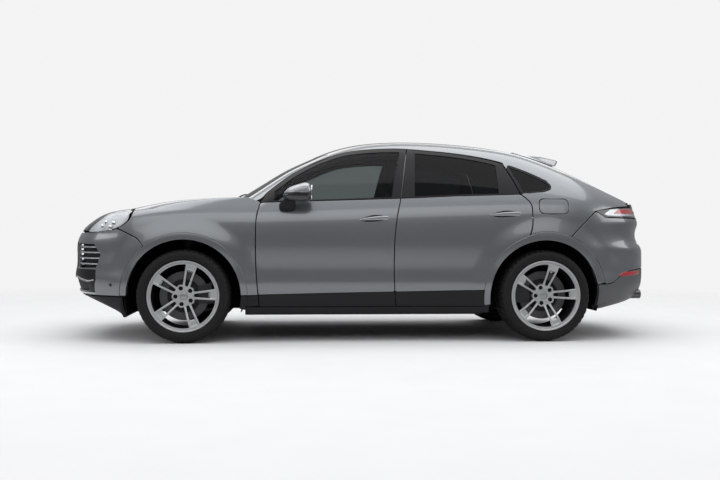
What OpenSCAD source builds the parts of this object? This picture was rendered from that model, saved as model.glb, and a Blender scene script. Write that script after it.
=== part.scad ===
// Coupe-roofed sport utility vehicle, five doors, left side at +Y, nose at +X, road at Z = 0.
// Sizes in millimetres.

/* [Overall] */
// Overall length
length = 4930; // [4900:1:4960]
// Front axle to the tip of the nose
front_overhang = 985; // [975:1:995]
// Distance between the axles
wheelbase = 2895; // [2880:1:2910]
// Gap between neighbouring panels
gap = 6; // [5.5:0.5:8]

/* [Wheels] */
// Radius of the tyres
tyre_r = 370; // [366:1:374]
// Radius of the rim's outer lip
rim_r = 284; // [280:1:286]
// Distance between the middles of the front tyres
front_track = 1680; // [1670:1:1690]
// Distance between the middles of the rear tyres
rear_track = 1673; // [1660:1:1680]
// Width of a front tyre
front_tyre_w = 285; // [275:5:295]
// Width of a rear tyre
rear_tyre_w = 315; // [305:5:325]
// Radius of the wheel arch openings
arch_r = 446; // [440:1:460]
// Wheel bolt circle diameter
bolt_circle = 130; // [112:1:130]
// Brake disc radius
disc_r = 195; // [180:1:200]

/* [Panels] */
// Thickness of a door below the belt line
door_t = 120; // [90:5:130]
// Thickness of a window frame
frame_t = 42; // [36:1:50]
// Thickness of sheet panels
sheet_t = 14; // [10:1:16]
// Thickness of the side and tailgate glass
glass_t = 6; // [5:1:8]

/* [Hidden] */
$fn = 64;
front_x = length / 2 - front_overhang;
rear_x = front_x - wheelbase;
hub_z = tyre_r;
front_rim_h = front_tyre_w / 2 - 22;
rear_rim_h = rear_tyre_w / 2 - 18;
// How far the hub face stands outside the middle of the tyre
front_seat = 62;
rear_seat = 55;
axle_r = 24;
paint = "#777b80";
black = "#17181a";
dark = "#33353a";
tint = "#1d2226";
metal = "#8d9196";

// Natural cubic splines, sampled into lookup tables
function forward(p, i = 1, acc = [[0, 0]]) = i >= len(p) - 1 ? acc :
    let (a = p[i][0] - p[i - 1][0], b = p[i + 1][0] - p[i][0], den = 2 * (a + b) - a * acc[i - 1][0],
        rhs = 6 * ((p[i + 1][1] - p[i][1]) / b - (p[i][1] - p[i - 1][1]) / a))
    forward(p, i + 1, concat(acc, [[b / den, (rhs - a * acc[i - 1][1]) / den]]));
function backward(s, i, m) = i < 1 ? concat([0], m) :
    backward(s, i - 1, concat([s[i][1] - s[i][0] * m[0]], m));
function bends(p) = len(p) < 3 ? [0, 0] : let (s = forward(p)) backward(s, len(s) - 1, [0]);
function part_of(p, x, i = 0) = i >= len(p) - 2 || x < p[i + 1][0] ? i : part_of(p, x, i + 1);
function spline_at(p, m, x) = let (i = part_of(p, x), h = p[i + 1][0] - p[i][0],
    a = (p[i + 1][0] - x) / h, b = (x - p[i][0]) / h)
    a * p[i][1] + b * p[i + 1][1] + ((a ^ 3 - a) * m[i] + (b ^ 3 - b) * m[i + 1]) * h * h / 6;
function fair(p, n) = let (m = bends(p), a = p[0][0], b = p[len(p) - 1][0])
    [for (i = [0 : n]) let (x = a + (b - a) * i / n) [x, spline_at(p, m, x)]];
function chord(p, i = 1, acc = [0]) = i >= len(p) ? acc :
    chord(p, i + 1, concat(acc, [acc[i - 1] + norm(p[i] - p[i - 1])]));
// A smooth path through points, and a straight-sided one, both in n equal steps
function path(p, n) = let (c = chord(p), e = c[len(c) - 1],
    px = [for (i = [0 : len(p) - 1]) [c[i], p[i][0]]], pz = [for (i = [0 : len(p) - 1]) [c[i], p[i][1]]],
    mx = bends(px), mz = bends(pz))
    [for (k = [0 : n]) [spline_at(px, mx, e * k / n), spline_at(pz, mz, e * k / n)]];
function polyline(p, n) = let (c = chord(p), e = c[len(c) - 1],
    px = [for (i = [0 : len(p) - 1]) [c[i], p[i][0]]], pz = [for (i = [0 : len(p) - 1]) [c[i], p[i][1]]])
    [for (k = [0 : n]) [lookup(e * k / n, px), lookup(e * k / n, pz)]];
function reverse(p) = [for (i = [len(p) - 1 : -1 : 0]) p[i]];
function mix(a, b, t) = a + (b - a) * t;
function ease(a, b, x) = let (t = min(1, max(0, (x - a) / (b - a)))) t * t * (3 - 2 * t);
// A path moved sideways by d, to the left of its direction
function shifted(p, d) = [for (i = [0 : len(p) - 1]) let (q = p[min(i + 1, len(p) - 1)] - p[max(i - 1, 0)])
    p[i] + d * [-q[1], q[0]] / norm(q)];

// The body's rules: half width, belt rise, side profile, nose and tail profiles, roof line
half_table = fair([[-2500, 972], [-2000, 972], [-1500, 972], [-1100, 966], [-600, 959], [0, 956],
    [600, 957], [1200, 959], [1700, 956], [2500, 956]], 60);
rise_table = fair([[-2500, 15], [-2100, 40], [-1700, 72], [-1350, 80], [-1000, 71], [-500, 54], [0, 34],
    [300, 22], [700, 7], [1000, 0], [1600, 0], [2500, 0]], 80);
side_table = fair([[150, -112], [235, -72], [330, -42], [430, -17], [480, -12], [560, -15], [660, -9],
    [780, 0], [900, -5], [1000, -21], [1113, -68], [1330, -178], [1536, -305], [1760, -455]], 120);
nose_table = [for (p = path([[2300, 150], [2360, 260], [2425, 383], [2457, 470], [2465, 520], [2456, 580],
    [2452, 690], [2444, 800], [2415, 862], [2370, 905], [2290, 955], [2205, 1002], [2115, 1036],
    [1950, 1064], [1820, 1091], [1670, 1119], [1520, 1136], [1300, 1150], [1050, 1158], [700, 1164]], 160))
    [p[1], p[0]]];
tail_table = fair([[150, -1900], [230, -2020], [265, -2190], [300, -2325], [340, -2395], [400, -2442],
    [480, -2462], [600, -2465], [700, -2462], [755, -2450], [800, -2415], [840, -2398], [905, -2402],
    [960, -2420], [1010, -2408], [1080, -2385], [1130, -2374], [1300, -2330], [1700, -2200]], 160);
roof_table = fair([[-2500, 1072], [-2340, 1149], [-2124, 1250], [-1895, 1359], [-1691, 1450], [-1500, 1523],
    [-1250, 1595], [-1000, 1637], [-750, 1661], [-530, 1673], [-340, 1676], [-170, 1671], [0, 1657],
    [180, 1625], [350, 1571], [520, 1497], [690, 1415], [865, 1309], [1000, 1225], [1120, 1150],
    [1300, 1035], [1450, 940]], 220);
belt_table = [[-1480, 1232], [-1361, 1206], [-1230, 1192], [-1013, 1184], [-698, 1174], [-400, 1159],
    [-160, 1149], [128, 1139], [476, 1127], [739, 1118], [880, 1113]];
taper_table = fair([[-2500, 190], [-2000, 150], [-1500, 82], [-1000, 30], [-500, 4], [0, 0], [2500, 0]], 50);

function nose_power(z) = 2.6 + 3.4 * ease(850, 1060, z);
function nose_start(z) = 1650 - 750 * ease(850, 1060, z);
function nose_factor(x, z) = let (s = nose_start(z), e = lookup(z, nose_table), n = nose_power(z))
    x <= s ? 1 : x >= e ? 0 : (1 - ((x - s) / (e - s)) ^ n) ^ (1 / n);
tail_start = -1500;
tail_power = 2.65;
function tail_factor(x, z) = let (e = lookup(z, tail_table), t = (tail_start - x) / (tail_start - e))
    t <= 0 ? 1 : t >= 1 ? 0 : (1 - t ^ tail_power) ^ (1 / tail_power);
function flare(x, z) = 24 * (1 - ease(465, 640, norm([x - front_x, z - hub_z])))
    + 19.5 * (1 - ease(465, 650, norm([x - rear_x, z - hub_z])));
function side_width(x, z) = let (r = lookup(x, rise_table) * ease(560, 1140, z), h = z - r,
    u = max(0, (h - 1050) / 486))
    lookup(x, half_table) + lookup(h, side_table) - lookup(x, taper_table) * u * u;
// Half width of the body at a height, side glass included
function cabin_y(x, z) = side_width(x, z) * tail_factor(x, z) + flare(x, z);
function side_y(x, z) = side_width(x, z) * nose_factor(x, z) * tail_factor(x, z) + flare(x, z);
// Height of the windscreen, roof and rear window
function sweep(x) = 1.6e-4 * ease(-100, 700, x) - 2.6e-4 * ease(-900, -1600, x);
function crown(x) = 1.6e-4 - 1.1e-4 * ease(100, 800, x) - 1.0e-4 * ease(-900, -1700, x);
function top_z(x, y) = lookup(x + sweep(x) * y * y, roof_table) - crown(x) * y * y;
// The two meet in a soft edge
edge = 110;
function soft_max(a, b) = let (h = max(edge - abs(a - b), 0)) max(a, b) + h * h / (4 * edge);
function find_y(x, z, s, lo, hi, n) = let (m = (lo + hi) / 2) n == 0 ? m :
    soft_max(m - s, z - top_z(x, m)) > 0 ? find_y(x, z, s, lo, m, n - 1) : find_y(x, z, s, m, hi, n - 1);
cowl_x = 1000;
function body_y(x, z) = let (s = x > cowl_x ? side_y(x, z) : cabin_y(x, z))
    x > cowl_x || z < top_z(x, s) - edge ? s : find_y(x, z, s, 0, s, 15);
function find_z(x, y, t, lo, hi, n) = let (m = (lo + hi) / 2) n == 0 ? m :
    soft_max(y - cabin_y(x, m), m - t) > 0 ? find_z(x, y, t, lo, m, n - 1) : find_z(x, y, t, m, hi, n - 1);
function body_z(x, y) = let (t = top_z(x, y)) find_z(x, abs(y), t, t - 250, t, 15);
// Height of the bonnet and wing tops over a plan point
function find_hood(x, y, lo, hi, n) = let (m = (lo + hi) / 2) n == 0 ? m :
    side_y(x, m) < y ? find_hood(x, y, lo, m, n - 1) : find_hood(x, y, m, hi, n - 1);
function hood_z(x, y) = find_hood(x, max(abs(y), 0.5), 700, 1164, 15);
// Points of the nose and tail by plan angle and height
function nose_point(a, z) = let (n = nose_power(z), s = nose_start(z), e = lookup(z, nose_table),
    x = s + (e - s) * cos(a) ^ (2 / n))
    [x, sign(a) * (side_width(s, z) * abs(sin(a)) ^ (2 / n) + flare(x, z) * abs(sin(a))), z];
function tail_point(a, z) = let (n = tail_power, e = lookup(z, tail_table),
    x = tail_start + (e - tail_start) * cos(a) ^ (2 / n))
    [x, sign(a) * (side_width(x, z) * abs(sin(a)) ^ (2 / n) + flare(x, z) * abs(sin(a))), z];
// Point of the soft edge along a ray in a cross section
function find_ray(x, c, d, lo, hi, n) = let (m = (lo + hi) / 2, y = c[0] + d[0] * m, z = c[1] + d[1] * m)
    n == 0 ? [x, y, z] : soft_max(y - cabin_y(x, z), z - top_z(x, y)) > 0 ?
    find_ray(x, c, d, lo, m, n - 1) : find_ray(x, c, d, m, hi, n - 1);

// Grids and closed shells
function coons(b, t, l, r) = let (nu = len(b) - 1, nv = len(l) - 1) [for (j = [0 : nv]) let (v = j / nv)
    [for (i = [0 : nu]) let (u = i / nu) (1 - v) * b[i] + v * t[i] + (1 - u) * l[j] + u * r[j]
        - ((1 - u) * (1 - v) * b[0] + u * (1 - v) * b[nu] + (1 - u) * v * t[0] + u * v * t[nu])]];
function cell_at(g, u, v) = let (nu = len(g[0]) - 1, nv = len(g) - 1,
    i = min(nu - 1, floor(u * nu)), j = min(nv - 1, floor(v * nv)), s = u * nu - i, t = v * nv - j)
    mix(mix(g[j][i], g[j][i + 1], s), mix(g[j + 1][i], g[j + 1][i + 1], s), t);
// The same grid drawn in by a margin on each side
function inset(g, l, r, b, t) = let (nu = len(g[0]) - 1, nv = len(g) - 1) [for (j = [0 : nv])
    let (h = norm(g[nv][0] - g[0][0]) / 2 + norm(g[nv][nu] - g[0][nu]) / 2, v = mix(b / h, 1 - t / h, j / nv))
    [for (i = [0 : nu]) let (w = norm(g[j][nu] - g[j][0])) cell_at(g, mix(l / w, 1 - r / w, i / nu), v)]];
function rectangle_grid(x0, x1, z0, z1, n, m) = [for (j = [0 : m]) [for (i = [0 : n])
    [mix(x0, x1, i / n), mix(z0, z1, j / m)]]];
function flat(g) = [for (row = g) each row];
function side_grid(g, d = 0) = [for (row = g) [for (p = row) [p[0], body_y(p[0], p[1]) - d, p[1]]]];
function top_grid(g, d = 0) = [for (row = g) [for (p = row) [p[0], p[1], body_z(p[0], p[1]) - d]]];

module shell(o, n) {
    c = len(o[0]);
    m = len(o) * c;
    polyhedron(concat(flat(o), flat(n)), concat(
        [for (j = [0 : len(o) - 2], i = [0 : c - 2]) each
            let (a = j * c + i, b = a + 1, e = a + c + 1, d = a + c)
            [[a, d, e], [a, e, b], [a + m, e + m, d + m], [a + m, b + m, e + m]]],
        [for (i = [0 : c - 2]) each let (a = i, b = i + 1, d = m - c + i, e = d + 1)
            [[a, b, b + m], [a, b + m, a + m], [e, d, d + m], [e, d + m, e + m]]],
        [for (j = [0 : len(o) - 2]) each let (a = j * c, d = a + c, b = a + c - 1, e = b + c)
            [[d, a, a + m], [d, a + m, d + m], [b, e, e + m], [b, e + m, b + m]]]));
}
// One closed surface made of several shapes
module meshed() {
    resize([0, 0, 0]) children();
}
// A side-view outline cut through in Y, and a plan outline cut through in Z
module across(p, y0, y1) {
    translate([0, y1, 0]) rotate([90, 0, 0]) linear_extrude(y1 - y0) polygon(p);
}
module down(p, z0, z1) {
    translate([0, 0, z0]) linear_extrude(z1 - z0) polygon(p);
}
module both() {
    children();
    mirror([0, 1, 0]) children();
}
module block(x0, x1, y0, y1, z0, z1) {
    translate([x0, y0, z0]) cube([x1 - x0, y1 - y0, z1 - z0]);
}
module along_y(x, z, r, y0, y1, fn = 64) {
    translate([x, y1, z]) rotate([90, 0, 0]) cylinder(r = r, h = y1 - y0, $fn = fn);
}

// Side-view outlines
door_front_edge = [[885, 285], [893, 375], [908, 547], [914, 697], [914, 899], [904, 1020], [878, 1112]];
middle_edge = [[-203, 285], [-190, 403], [-184, 597], [-186, 801], [-201, 954], [-216, 1046], [-241, 1147],
    [-268, 1300], [-318, 1572]];
window_top = [[878, 1112], [845, 1171], [741, 1265], [638, 1344], [534, 1407], [431, 1461], [326, 1503],
    [222, 1536], [117, 1555], [11, 1566], [-94, 1573], [-253, 1575], [-377, 1567], [-515, 1554], [-622, 1544],
    [-728, 1531], [-836, 1515], [-943, 1494], [-1051, 1467], [-1159, 1432], [-1267, 1391], [-1376, 1339],
    [-1452, 1297]];
front_top = concat([for (i = [0 : 11]) window_top[i]], [[-318, 1572]]);
rear_top = concat([[-318, 1572]], [for (i = [12 : 18]) window_top[i]], [[-1105, 1450]]);
function arch_points(r, a, b, n, x) = [for (i = [0 : n]) let (t = mix(a, b, i / n))
    [x + r * cos(t), hub_z + r * sin(t)]];
rear_edge = concat(arch_points(500, -9.8, 74, 8, rear_x), [[-1303, 941], [-1306, 1040], [-1300, 1110],
    [-1268, 1150], [-1225, 1186], [-1168, 1320], [-1105, 1450]]);
front_line = path(door_front_edge, 10);
front_head = path(front_top, 12);
middle_line = path(middle_edge, 10);
rear_head = polyline(rear_top, 9);
rear_line = path(rear_edge, 14);
front_outline = concat(front_line, front_head, reverse(middle_line));
rear_outline = concat(middle_line, rear_head, reverse(rear_line));
function belt(x) = lookup(x, belt_table);
front_glass = [[for (i = [0 : 10]) let (x = mix(772, -173, i / 10)) [x, belt(x) + 13]],
    concat([[772, 1205]], [for (i = [1 : 9]) shifted(path(front_top, 12), 32)[i + 1]], [[-256, 1543]])];
rear_glass = [[for (i = [0 : 8]) let (x = mix(-358, -1046, i / 8)) [x, belt(x) + 13]],
    concat([[-378, 1535]], [for (i = [1 : 7]) shifted(path(rear_top, 9), 32)[i]], [[-1046, 1437]])];
function glass_outline(g) = concat(g[0], reverse(g[1]));
function glass_grid(g, n) = let (e = len(g[0]) - 1)
    coons(g[0], g[1], polyline([g[0][0], g[1][0]], n), polyline([g[0][e], g[1][e]], n));
quarter_outline = [[-1246, 1212], [-1300, 1212], [-1408, 1222], [-1468, 1240], [-1476, 1262], [-1446, 1290],
    [-1376, 1328], [-1267, 1380], [-1146, 1428]];

function door_t_at(z) = mix(door_t, frame_t, ease(1020, 1150, z));
module door(b, t, l, r, glass) {
    g = coons(b, t, l, r);
    // the inner side is smaller all round
    n = inset(g, 28, 28, 20, 12);
    meshed() difference() {
        shell(side_grid(g), [for (row = n) [for (p = row)
            [p[0], body_y(p[0], p[1]) - door_t_at(p[1]), p[1]]]]);
        across(glass_outline(glass), 0, 1200);
    }
}
module left_front_door() {
    door(polyline([front_line[0], middle_line[0]], 12), front_head, front_line, middle_line, front_glass);
}
module left_rear_door() {
    foot = polyline([middle_line[0] - [gap, 0], rear_line[0]], 9);
    head = [for (i = [0 : 9]) rear_head[i] - [gap * (1 - i / 9), 0]];
    front = [for (p = path(middle_edge, 14)) p - [gap, 0]];
    door(foot, head, front, rear_line, rear_glass);
}
module pane(g) {
    depth = 10;
    n = inset(g, 0.6, 0.6, 0.6, 0.6);
    color(tint) shell(side_grid(n, depth), side_grid(n, depth + glass_t));
}
module front_pane() {
    pane(glass_grid(front_glass, 4));
}
module rear_pane() {
    pane(glass_grid(rear_glass, 4));
}
// A slab of the body side, grown by d
module side_slab(x0, x1, z0, z1, d) {
    g = rectangle_grid(x0, x1, z0, z1, 5, 5);
    shell(side_grid(g, -d), side_grid(g, 90));
}
module mirror_shell() {
    meshed() difference() {
        union() {
            hull() {
                translate([600, 1015, 1195]) scale([1.15, 0.9, 0.85]) sphere(r = 72, $fn = 10);
                translate([555, 1055, 1200]) scale([0.85, 0.55, 0.85]) sphere(r = 76, $fn = 10);
                translate([555, 945, 1190]) scale([0.85, 0.5, 0.8]) sphere(r = 64, $fn = 10);
            }
            hull() {
                translate([610, 965, 1140]) scale([1, 0.6, 0.5]) sphere(r = 40, $fn = 8);
                translate([700, 900, 1100]) scale([1, 0.5, 0.7]) sphere(r = 34, $fn = 8);
            }
        }
        side_slab(820, 480, 1030, 1300, 0.5);
    }
}

// Body side: quarter panel, roof rail with both outer pillars, middle pillar, hinge post and sill
rail_path = concat([[905, 1128]], [for (i = [1 : 22]) window_top[i]],
    [[-1600, 1226], [-1760, 1166], [-1920, 1126], [-2080, 1115], [-2212, 1115]]);
gate_edge = fair([[-2260, 598], [-2000, 587], [-1820, 576], [-1650, 566], [-1460, 556], [-1256, 548]], 20);
rail_in = concat([[1030, 738], [950, 732], [848, 706], [741, 674], [638, 642], [534, 612], [431, 584],
    [326, 564], [222, 554], [117, 550], [11, 548], [-94, 548], [-253, 548], [-400, 548], [-600, 548],
    [-800, 549], [-1000, 550]],
    [for (x = [-1256, -1460, -1650, -1820, -2000, -2234]) [x, lookup(x, gate_edge) + gap]]);
function rail_y(x) = lookup(-x, [for (p = rail_in) [-p[0], p[1]]]);
module roof_rail() {
    n = 22;
    low = [for (i = [0 : n]) let (p = path(rail_path, n)) mix(shifted(p, -gap - 4)[i], shifted(p, 8)[i],
        ease(-1380, -1500, p[i][0]))];
    high = path(rail_in, n);
    o = [for (j = [0 : 4]) [for (i = [0 : n]) let (v = j / 4, p = low[i], q = high[i], c = [150, p[1] - 260],
        py = body_y(p[0], p[1]), qz = body_z(q[0], q[1]), a = atan2(p[1] - c[1], py - c[0]),
        b = atan2(qz - c[1], q[1] - c[0]), w = mix(a, b, v))
        find_ray(mix(p[0], q[0], v), c, [cos(w), sin(w)], 0, 1500, 15)]];
    // thinner towards the tail
    shell(o, [for (j = [0 : 4]) [for (p = o[j]) let (t = ease(-1900, -2150, p[0]))
        p + mix([0, -32 + 22 * t, 4], [0, 0, -38 + 18 * t], j / 4)]]);
}
module quarter() {
    t = polyline([[-1010, 1478], each [for (i = [18 : 24]) rail_path[i]], [-1950, 1122]], 10);
    u = [for (p = t) p - [0, 18]];
    g = coons(polyline([[-890, 285], [-1950, 285]], 10), u, polyline([[-890, 285], u[0]], 9),
        polyline([[-1950, 285], u[10]], 9));
    // the upper edge tucks in under the roof rail
    lip = [for (p = t) [p[0], body_y(p[0], p[1]) - 16, p[1] + 20]];
    difference() {
        shell(concat(side_grid(g), [lip]), concat(
            [for (row = g) [for (p = row)
                [p[0], body_y(p[0], p[1]) - 30 + 10 * ease(-1900, -2200, p[0]), p[1]]]],
            [[for (p = lip) p - [0, 10, 0]]]));
        across(shifted_outline(rear_outline, gap + 3), 0, 1200);
        translate([-gap - 3, 0, 0]) across(rear_outline, 0, 1200);
        across(quarter_outline, 0, 1200);
        along_y(rear_x, hub_z, arch_r, 0, 1200, 44);
        across(rear_cut, 0, 1200);
        across(flap_outline(0), 860, 1200);
        block(-2400, -500, 0, 1200, 0, 286);
    }
}
// A closed outline grown by d: each corner moves away from its neighbours
function shifted_outline(p, d) = let (n = len(p)) [for (i = [0 : n - 1])
    let (q = p[(i + 1) % n] - p[(i + n - 1) % n], e = max(norm(q), 0.01)) p[i] + d * [q[1], -q[0]] / e];
rear_cut = [[-1560, 740], [-1590, 800], [-1619, 847], [-1684, 911], [-1836, 1057], [-1890, 1070],
    [-2021, 1093], [-2130, 1103], [-2400, 1112], [-2600, 1000], [-2600, 200], [-1560, 200]];
function flap_outline(d) = let (x0 = -1366 + d, x1 = -1612 - d, z0 = 1030 - d, z1 = 1156 + d, r = 30)
    concat([for (a = [0 : 30 : 90]) [x0 - r + r * cos(a), z1 - r + r * sin(a)]],
    [for (a = [90 : 30 : 180]) [x1 + r + r * cos(a), z1 - r + r * sin(a)]],
    [for (a = [180 : 30 : 270]) [x1 + r + r * cos(a), z0 + r + r * sin(a)]],
    [for (a = [270 : 30 : 360]) [x0 - r + r * cos(a), z0 + r + r * sin(a)]]);
module middle_pillar() {
    l = path([[-120, 240], [-135, 700], [-190, 1150], [-262, 1500], [-272, 1572]], 7);
    r = path([[-330, 240], [-300, 700], [-315, 1150], [-372, 1500], [-382, 1572]], 7);
    g = [for (j = [0 : 7]) [l[j], r[j]]];
    o = [for (row = g) [for (p = row) [p[0], body_y(p[0], p[1]) - door_t_at(p[1]) - 12, p[1]]]];
    shell(o, [for (row = o) [for (p = row) p - [0, 50, 0]]]);
    // head of the pillar, up to the roof rail
    block(-380, -275, 560, 604, 1540, 1590);
}
module left_side_frame() {
    meshed() union() {
        roof_rail();
        quarter();
        middle_pillar();
        // sill under the doors, with a raised inner part
        translate([-915, 0, 0]) rotate([90, 0, 90]) linear_extrude(915 + 1000)
            polygon([[700, 215], [860, 215], [890, 235], [904, 277], [768, 277], [768, 380], [700, 380]]);
        block(-955, -905, 888, 903, 240, 276);
        block(-955, -930, 888, 930, 240, 330);
        // post that carries the front door
        block(930, 1000, 700, 800, 300, 1135);
        block(930, 1000, 745, 800, 1060, 1132);
        // inner quarter wall
        across([[-940, 232], [-940, 340], [-965, 700], [-1180, 900], [-1330, 1000], [-1330, 1210],
            [-1380, 1210], [-1380, 960], [-1000, 720], [-962, 340], [-962, 232]], 604, 646);
        block(-940, -905, 604, 705, 232, 300);
        block(-1380, -1332, 604, 900, 1160, 1205);
    }
}

// Front wing
hood_table = fair([[1000, 743], [1300, 747], [1600, 749], [1880, 744], [2004, 706], [2128, 645], [2250, 590],
    [2345, 556]], 80);
function hood_edge(x) = lookup(x, hood_table);
module left_fender() {
    n = 12;
    m = 7;
    o = [for (j = [0 : m]) [for (i = [0 : n]) let (x = mix(2040, 888, i / n), e = hood_edge(x) + gap + 1,
        t = hood_z(x, e), q = (1 - j / m) * sqrt(t - 285), z = t - q * q) [x, j == m ? e : side_y(x, z), z]]];
    meshed() difference() {
        shell(o, [for (j = [0 : m]) [for (p = o[j]) p - sheet_t * mix([0, 1, 0], [0, 0, 1], (j / m) ^ 4)]]);
        across(shifted_outline(front_outline, gap + 3), 0, 1200);
        translate([gap + 3, 0, 0]) across(front_outline, 0, 1200);
        along_y(front_x, hub_z, arch_r, 0, 1200, 44);
        across(lamp_cut, 0, 1200);
        block(860, 1048, 0, 860, 1000, 1300);
    }
}
lamp_cut = [[2400, 1100], [1880, 1100], [1884, 1052], [1890, 1040], [1978, 953], [1996, 905], [1838, 829],
    [1740, 700], [1700, 200], [2400, 200]];
function nose_angle(y, z) = asin(min(1, (y / side_width(nose_start(z), z)) ^ (nose_power(z) / 2)));
lamp_low = path([[32, 876], [38, 879], [46, 885], [54, 893], [59, 906], [61.5, 930], [61, 960], [56, 1000],
    [49, 1032], [45, 1046]], 10);
lamp_high = [for (i = [0 : 10]) let (t = i / 10, x = mix(2318, 1912, t ^ 0.9),
    y = hood_edge(x) + gap + 1.5 + 30 * t ^ 6, z = hood_z(x, y)) [nose_angle(y, z), z]];
module left_headlight() {
    g = [for (j = [0 : 3]) [for (i = [0 : 10]) mix(lamp_low[10 - i], lamp_high[10 - i], j / 3)]];
    // the bowl behind the lens draws in from its edges
    n = [for (j = [0 : 3]) [for (i = [0 : 10]) cell_at(g, mix(0.1, 0.9, i / 10), mix(0.2, 0.8, j / 3))]];
    shell([for (row = g) [for (p = row) nose_point(p[0], p[1])]],
        [for (row = n) [for (p = row) nose_point(p[0], p[1]) - [46, 6, 34]]]);
}
function hood_grid(n, m) = let (
    l = [for (i = [0 : n]) let (x = mix(2330, 1056, i / n)) [x, hood_edge(x)]],
    tip = nose_angle(l[0][1], 878),
    f = [for (j = [0 : m]) let (p = nose_point(mix(tip, -tip, j / m), 878)) [p[0], p[1]]],
    k = [for (j = [0 : m]) let (y = mix(l[n][1], -l[n][1], j / m)) [1160 - 104 * (y / l[n][1]) ^ 2, y]])
    coons(l, [for (p = l) [p[0], -p[1]]], f, k);
module hood() {
    g = hood_grid(11, 8);
    o = [for (row = g) [for (p = row) [p[0], p[1], hood_z(p[0], p[1])]]];
    n = inset(g, 16, 10, 14, 14);
    color(paint) shell(o, [for (row = n) [for (p = row) [p[0], p[1], hood_z(p[0], p[1]) - 26]]]);
}

// Nose
function bumper_top(x) = lookup(x, [[1740, 700], [1758, 724], [1840, 822], [2000, 895], [2079, 888],
    [2263, 866], [2465, 866]]);
// A sheet drawn in from a nose or tail grid, square to its front and sides
function thinner(g, d) = [for (row = g) [for (p = row)
    p - d * [0.9, sign(p[1]) * min(1, abs(p[1]) / 700), 0]]];
// A front-view outline cut through the nose
module ahead(p) {
    translate([1900, 0, 0]) rotate([90, 0, 90]) linear_extrude(700) polygon(p);
}
module front_bumper() {
    n = 22;
    m = 6;
    g = [for (j = [0 : m]) [for (i = [0 : n]) let (a = mix(-88, 88, i / n), s = nose_point(a, 690)[0],
        t = bumper_top(s) - gap) nose_point(a, mix(368, t, j / m))]];
    color(paint) meshed() difference() {
        shell(g, thinner(g, sheet_t));
        both() along_y(front_x, hub_z, arch_r, 500, 1200, 44);
        both() along_y(front_x, hub_z, 474, 480, 889, 44);
        both() across([[1300, 1100], [1300, 300], [1706, 300], [1746, 697], [1842, 823], [1998, 898],
            [1998, 1100]], 600, 1200);
        // middle grille, corner intakes and lower intake
        ahead([[-420, 560], [-470, 700], [-440, 805], [440, 805], [470, 700], [420, 560]]);
        both() ahead([[540, 580], [525, 790], [800, 780], [840, 700], [800, 585]]);
        ahead([[-720, 398], [-745, 470], [-560, 500], [560, 500], [745, 470], [720, 398]]);
    }
}
module grille() {
    color(black) {
        for (z = [585, 640, 695, 750])
            shell(slat(z, 34, 40), slat(z, 34, 62));
        both() for (z = [600, 655, 710, 755])
            shell(corner_slat(z, 26), corner_slat(z, 60));
        shell(lower_mesh(60), lower_mesh(68));
    }
}
function lower_mesh(d) = thinner([for (z = [384, 512]) [for (i = [0 : 12])
    nose_point(mix(-50, 50, i / 12), z)]], d);
function slat(z, h, d) = [for (j = [0, 1]) [for (i = [0 : 6])
    let (p = nose_point(mix(-22, 22, i / 6), z + j * h)) p - [d, 0, 0]]];
function corner_slat(z, d) = [for (j = [0, 1]) [for (i = [0 : 3])
    let (p = nose_point(mix(29, 50, i / 3), z + j * 26)) p - [d, d * 0.4, 0]]];
module front_chin() {
    n = 14;
    g = [for (j = [0 : 2]) [for (i = [0 : n])
        let (a = mix(-70, 70, i / n), p = nose_point(a, 355) - [10, sign(a) * 10, 0])
        mix([min(1962, p[0] - 30), p[1] * 0.94, 196], p, j / 2)]];
    color(black) meshed() difference() {
        union() {
            shell(g, [for (row = g) [for (p = row) p + [-14, 0, 12]]]);
            block(1560, 1975, -375, 375, 205, 217);
        }
        both() along_y(front_x, hub_z, arch_r + 4, 480, 1200);
        both() along_y(front_x, hub_z, 474, 480, 889);
    }
}
module headlights() {
    color("#c9ced3") both() left_headlight();
}
module cowl() {
    front = [for (i = [0 : 10]) let (y = mix(-700, 700, i / 10)) [1220 - 104 * (y / 744) ^ 2, y]];
    color(black) down(concat(front, [[1040, 700], [1040, -700]]), 1085, 1103);
}

// Tail
function rear_top_edge(x) = lookup(x, [[-2600, 997], [-1995, 997], [-1930, 1030], [-1895, 1056],
    [-1836, 1050], [-1684, 904], [-1619, 840], [-1590, 794], [-1560, 735]]);
module rear_bumper() {
    n = 20;
    m = 6;
    g = [for (j = [0 : m]) [for (i = [0 : n]) let (a = mix(87, -87, i / n), s = tail_point(a, 800)[0],
        t = rear_top_edge(s)) tail_point(a, mix(462, t, j / m))]];
    color(paint) meshed() difference() {
        shell(g, [for (row = g) [for (p = row)
            p + sheet_t * [0.9, -sign(p[1]) * min(1, abs(p[1]) / 700), 0]]]);
        both() along_y(rear_x, hub_z, arch_r, 500, 1200, 44);
        block(-2600, -2000, -606, 606, 788, 1200);
        both() across(concat([for (i = [0 : 8]) rear_cut[i] - [0, 7]],
            [[-2600, 1400], [-1400, 1400], [-1400, 733]]), 500, 1200);
    }
}
module rear_diffuser() {
    n = 18;
    g = [for (j = [0 : 3]) [for (i = [0 : n]) tail_point(mix(80, -80, i / n), mix(245, 456, j / 3))]];
    color(dark) meshed() difference() {
        shell(g, [for (row = g) [for (p = row) p + [24, -sign(p[1]) * min(20, abs(p[1]) / 30), 0]]]);
        both() along_y(rear_x, hub_z, arch_r + 4, 480, 1200);
        both() along_y(rear_x, hub_z, 474, 480, 889);
        both() for (y = [430, 560]) hull() for (s = [-18, 18])
            translate([-2600, y + s, 375]) rotate([0, 90, 0]) cylinder(r = 44, h = 700, $fn = 12);
    }
}
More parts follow.
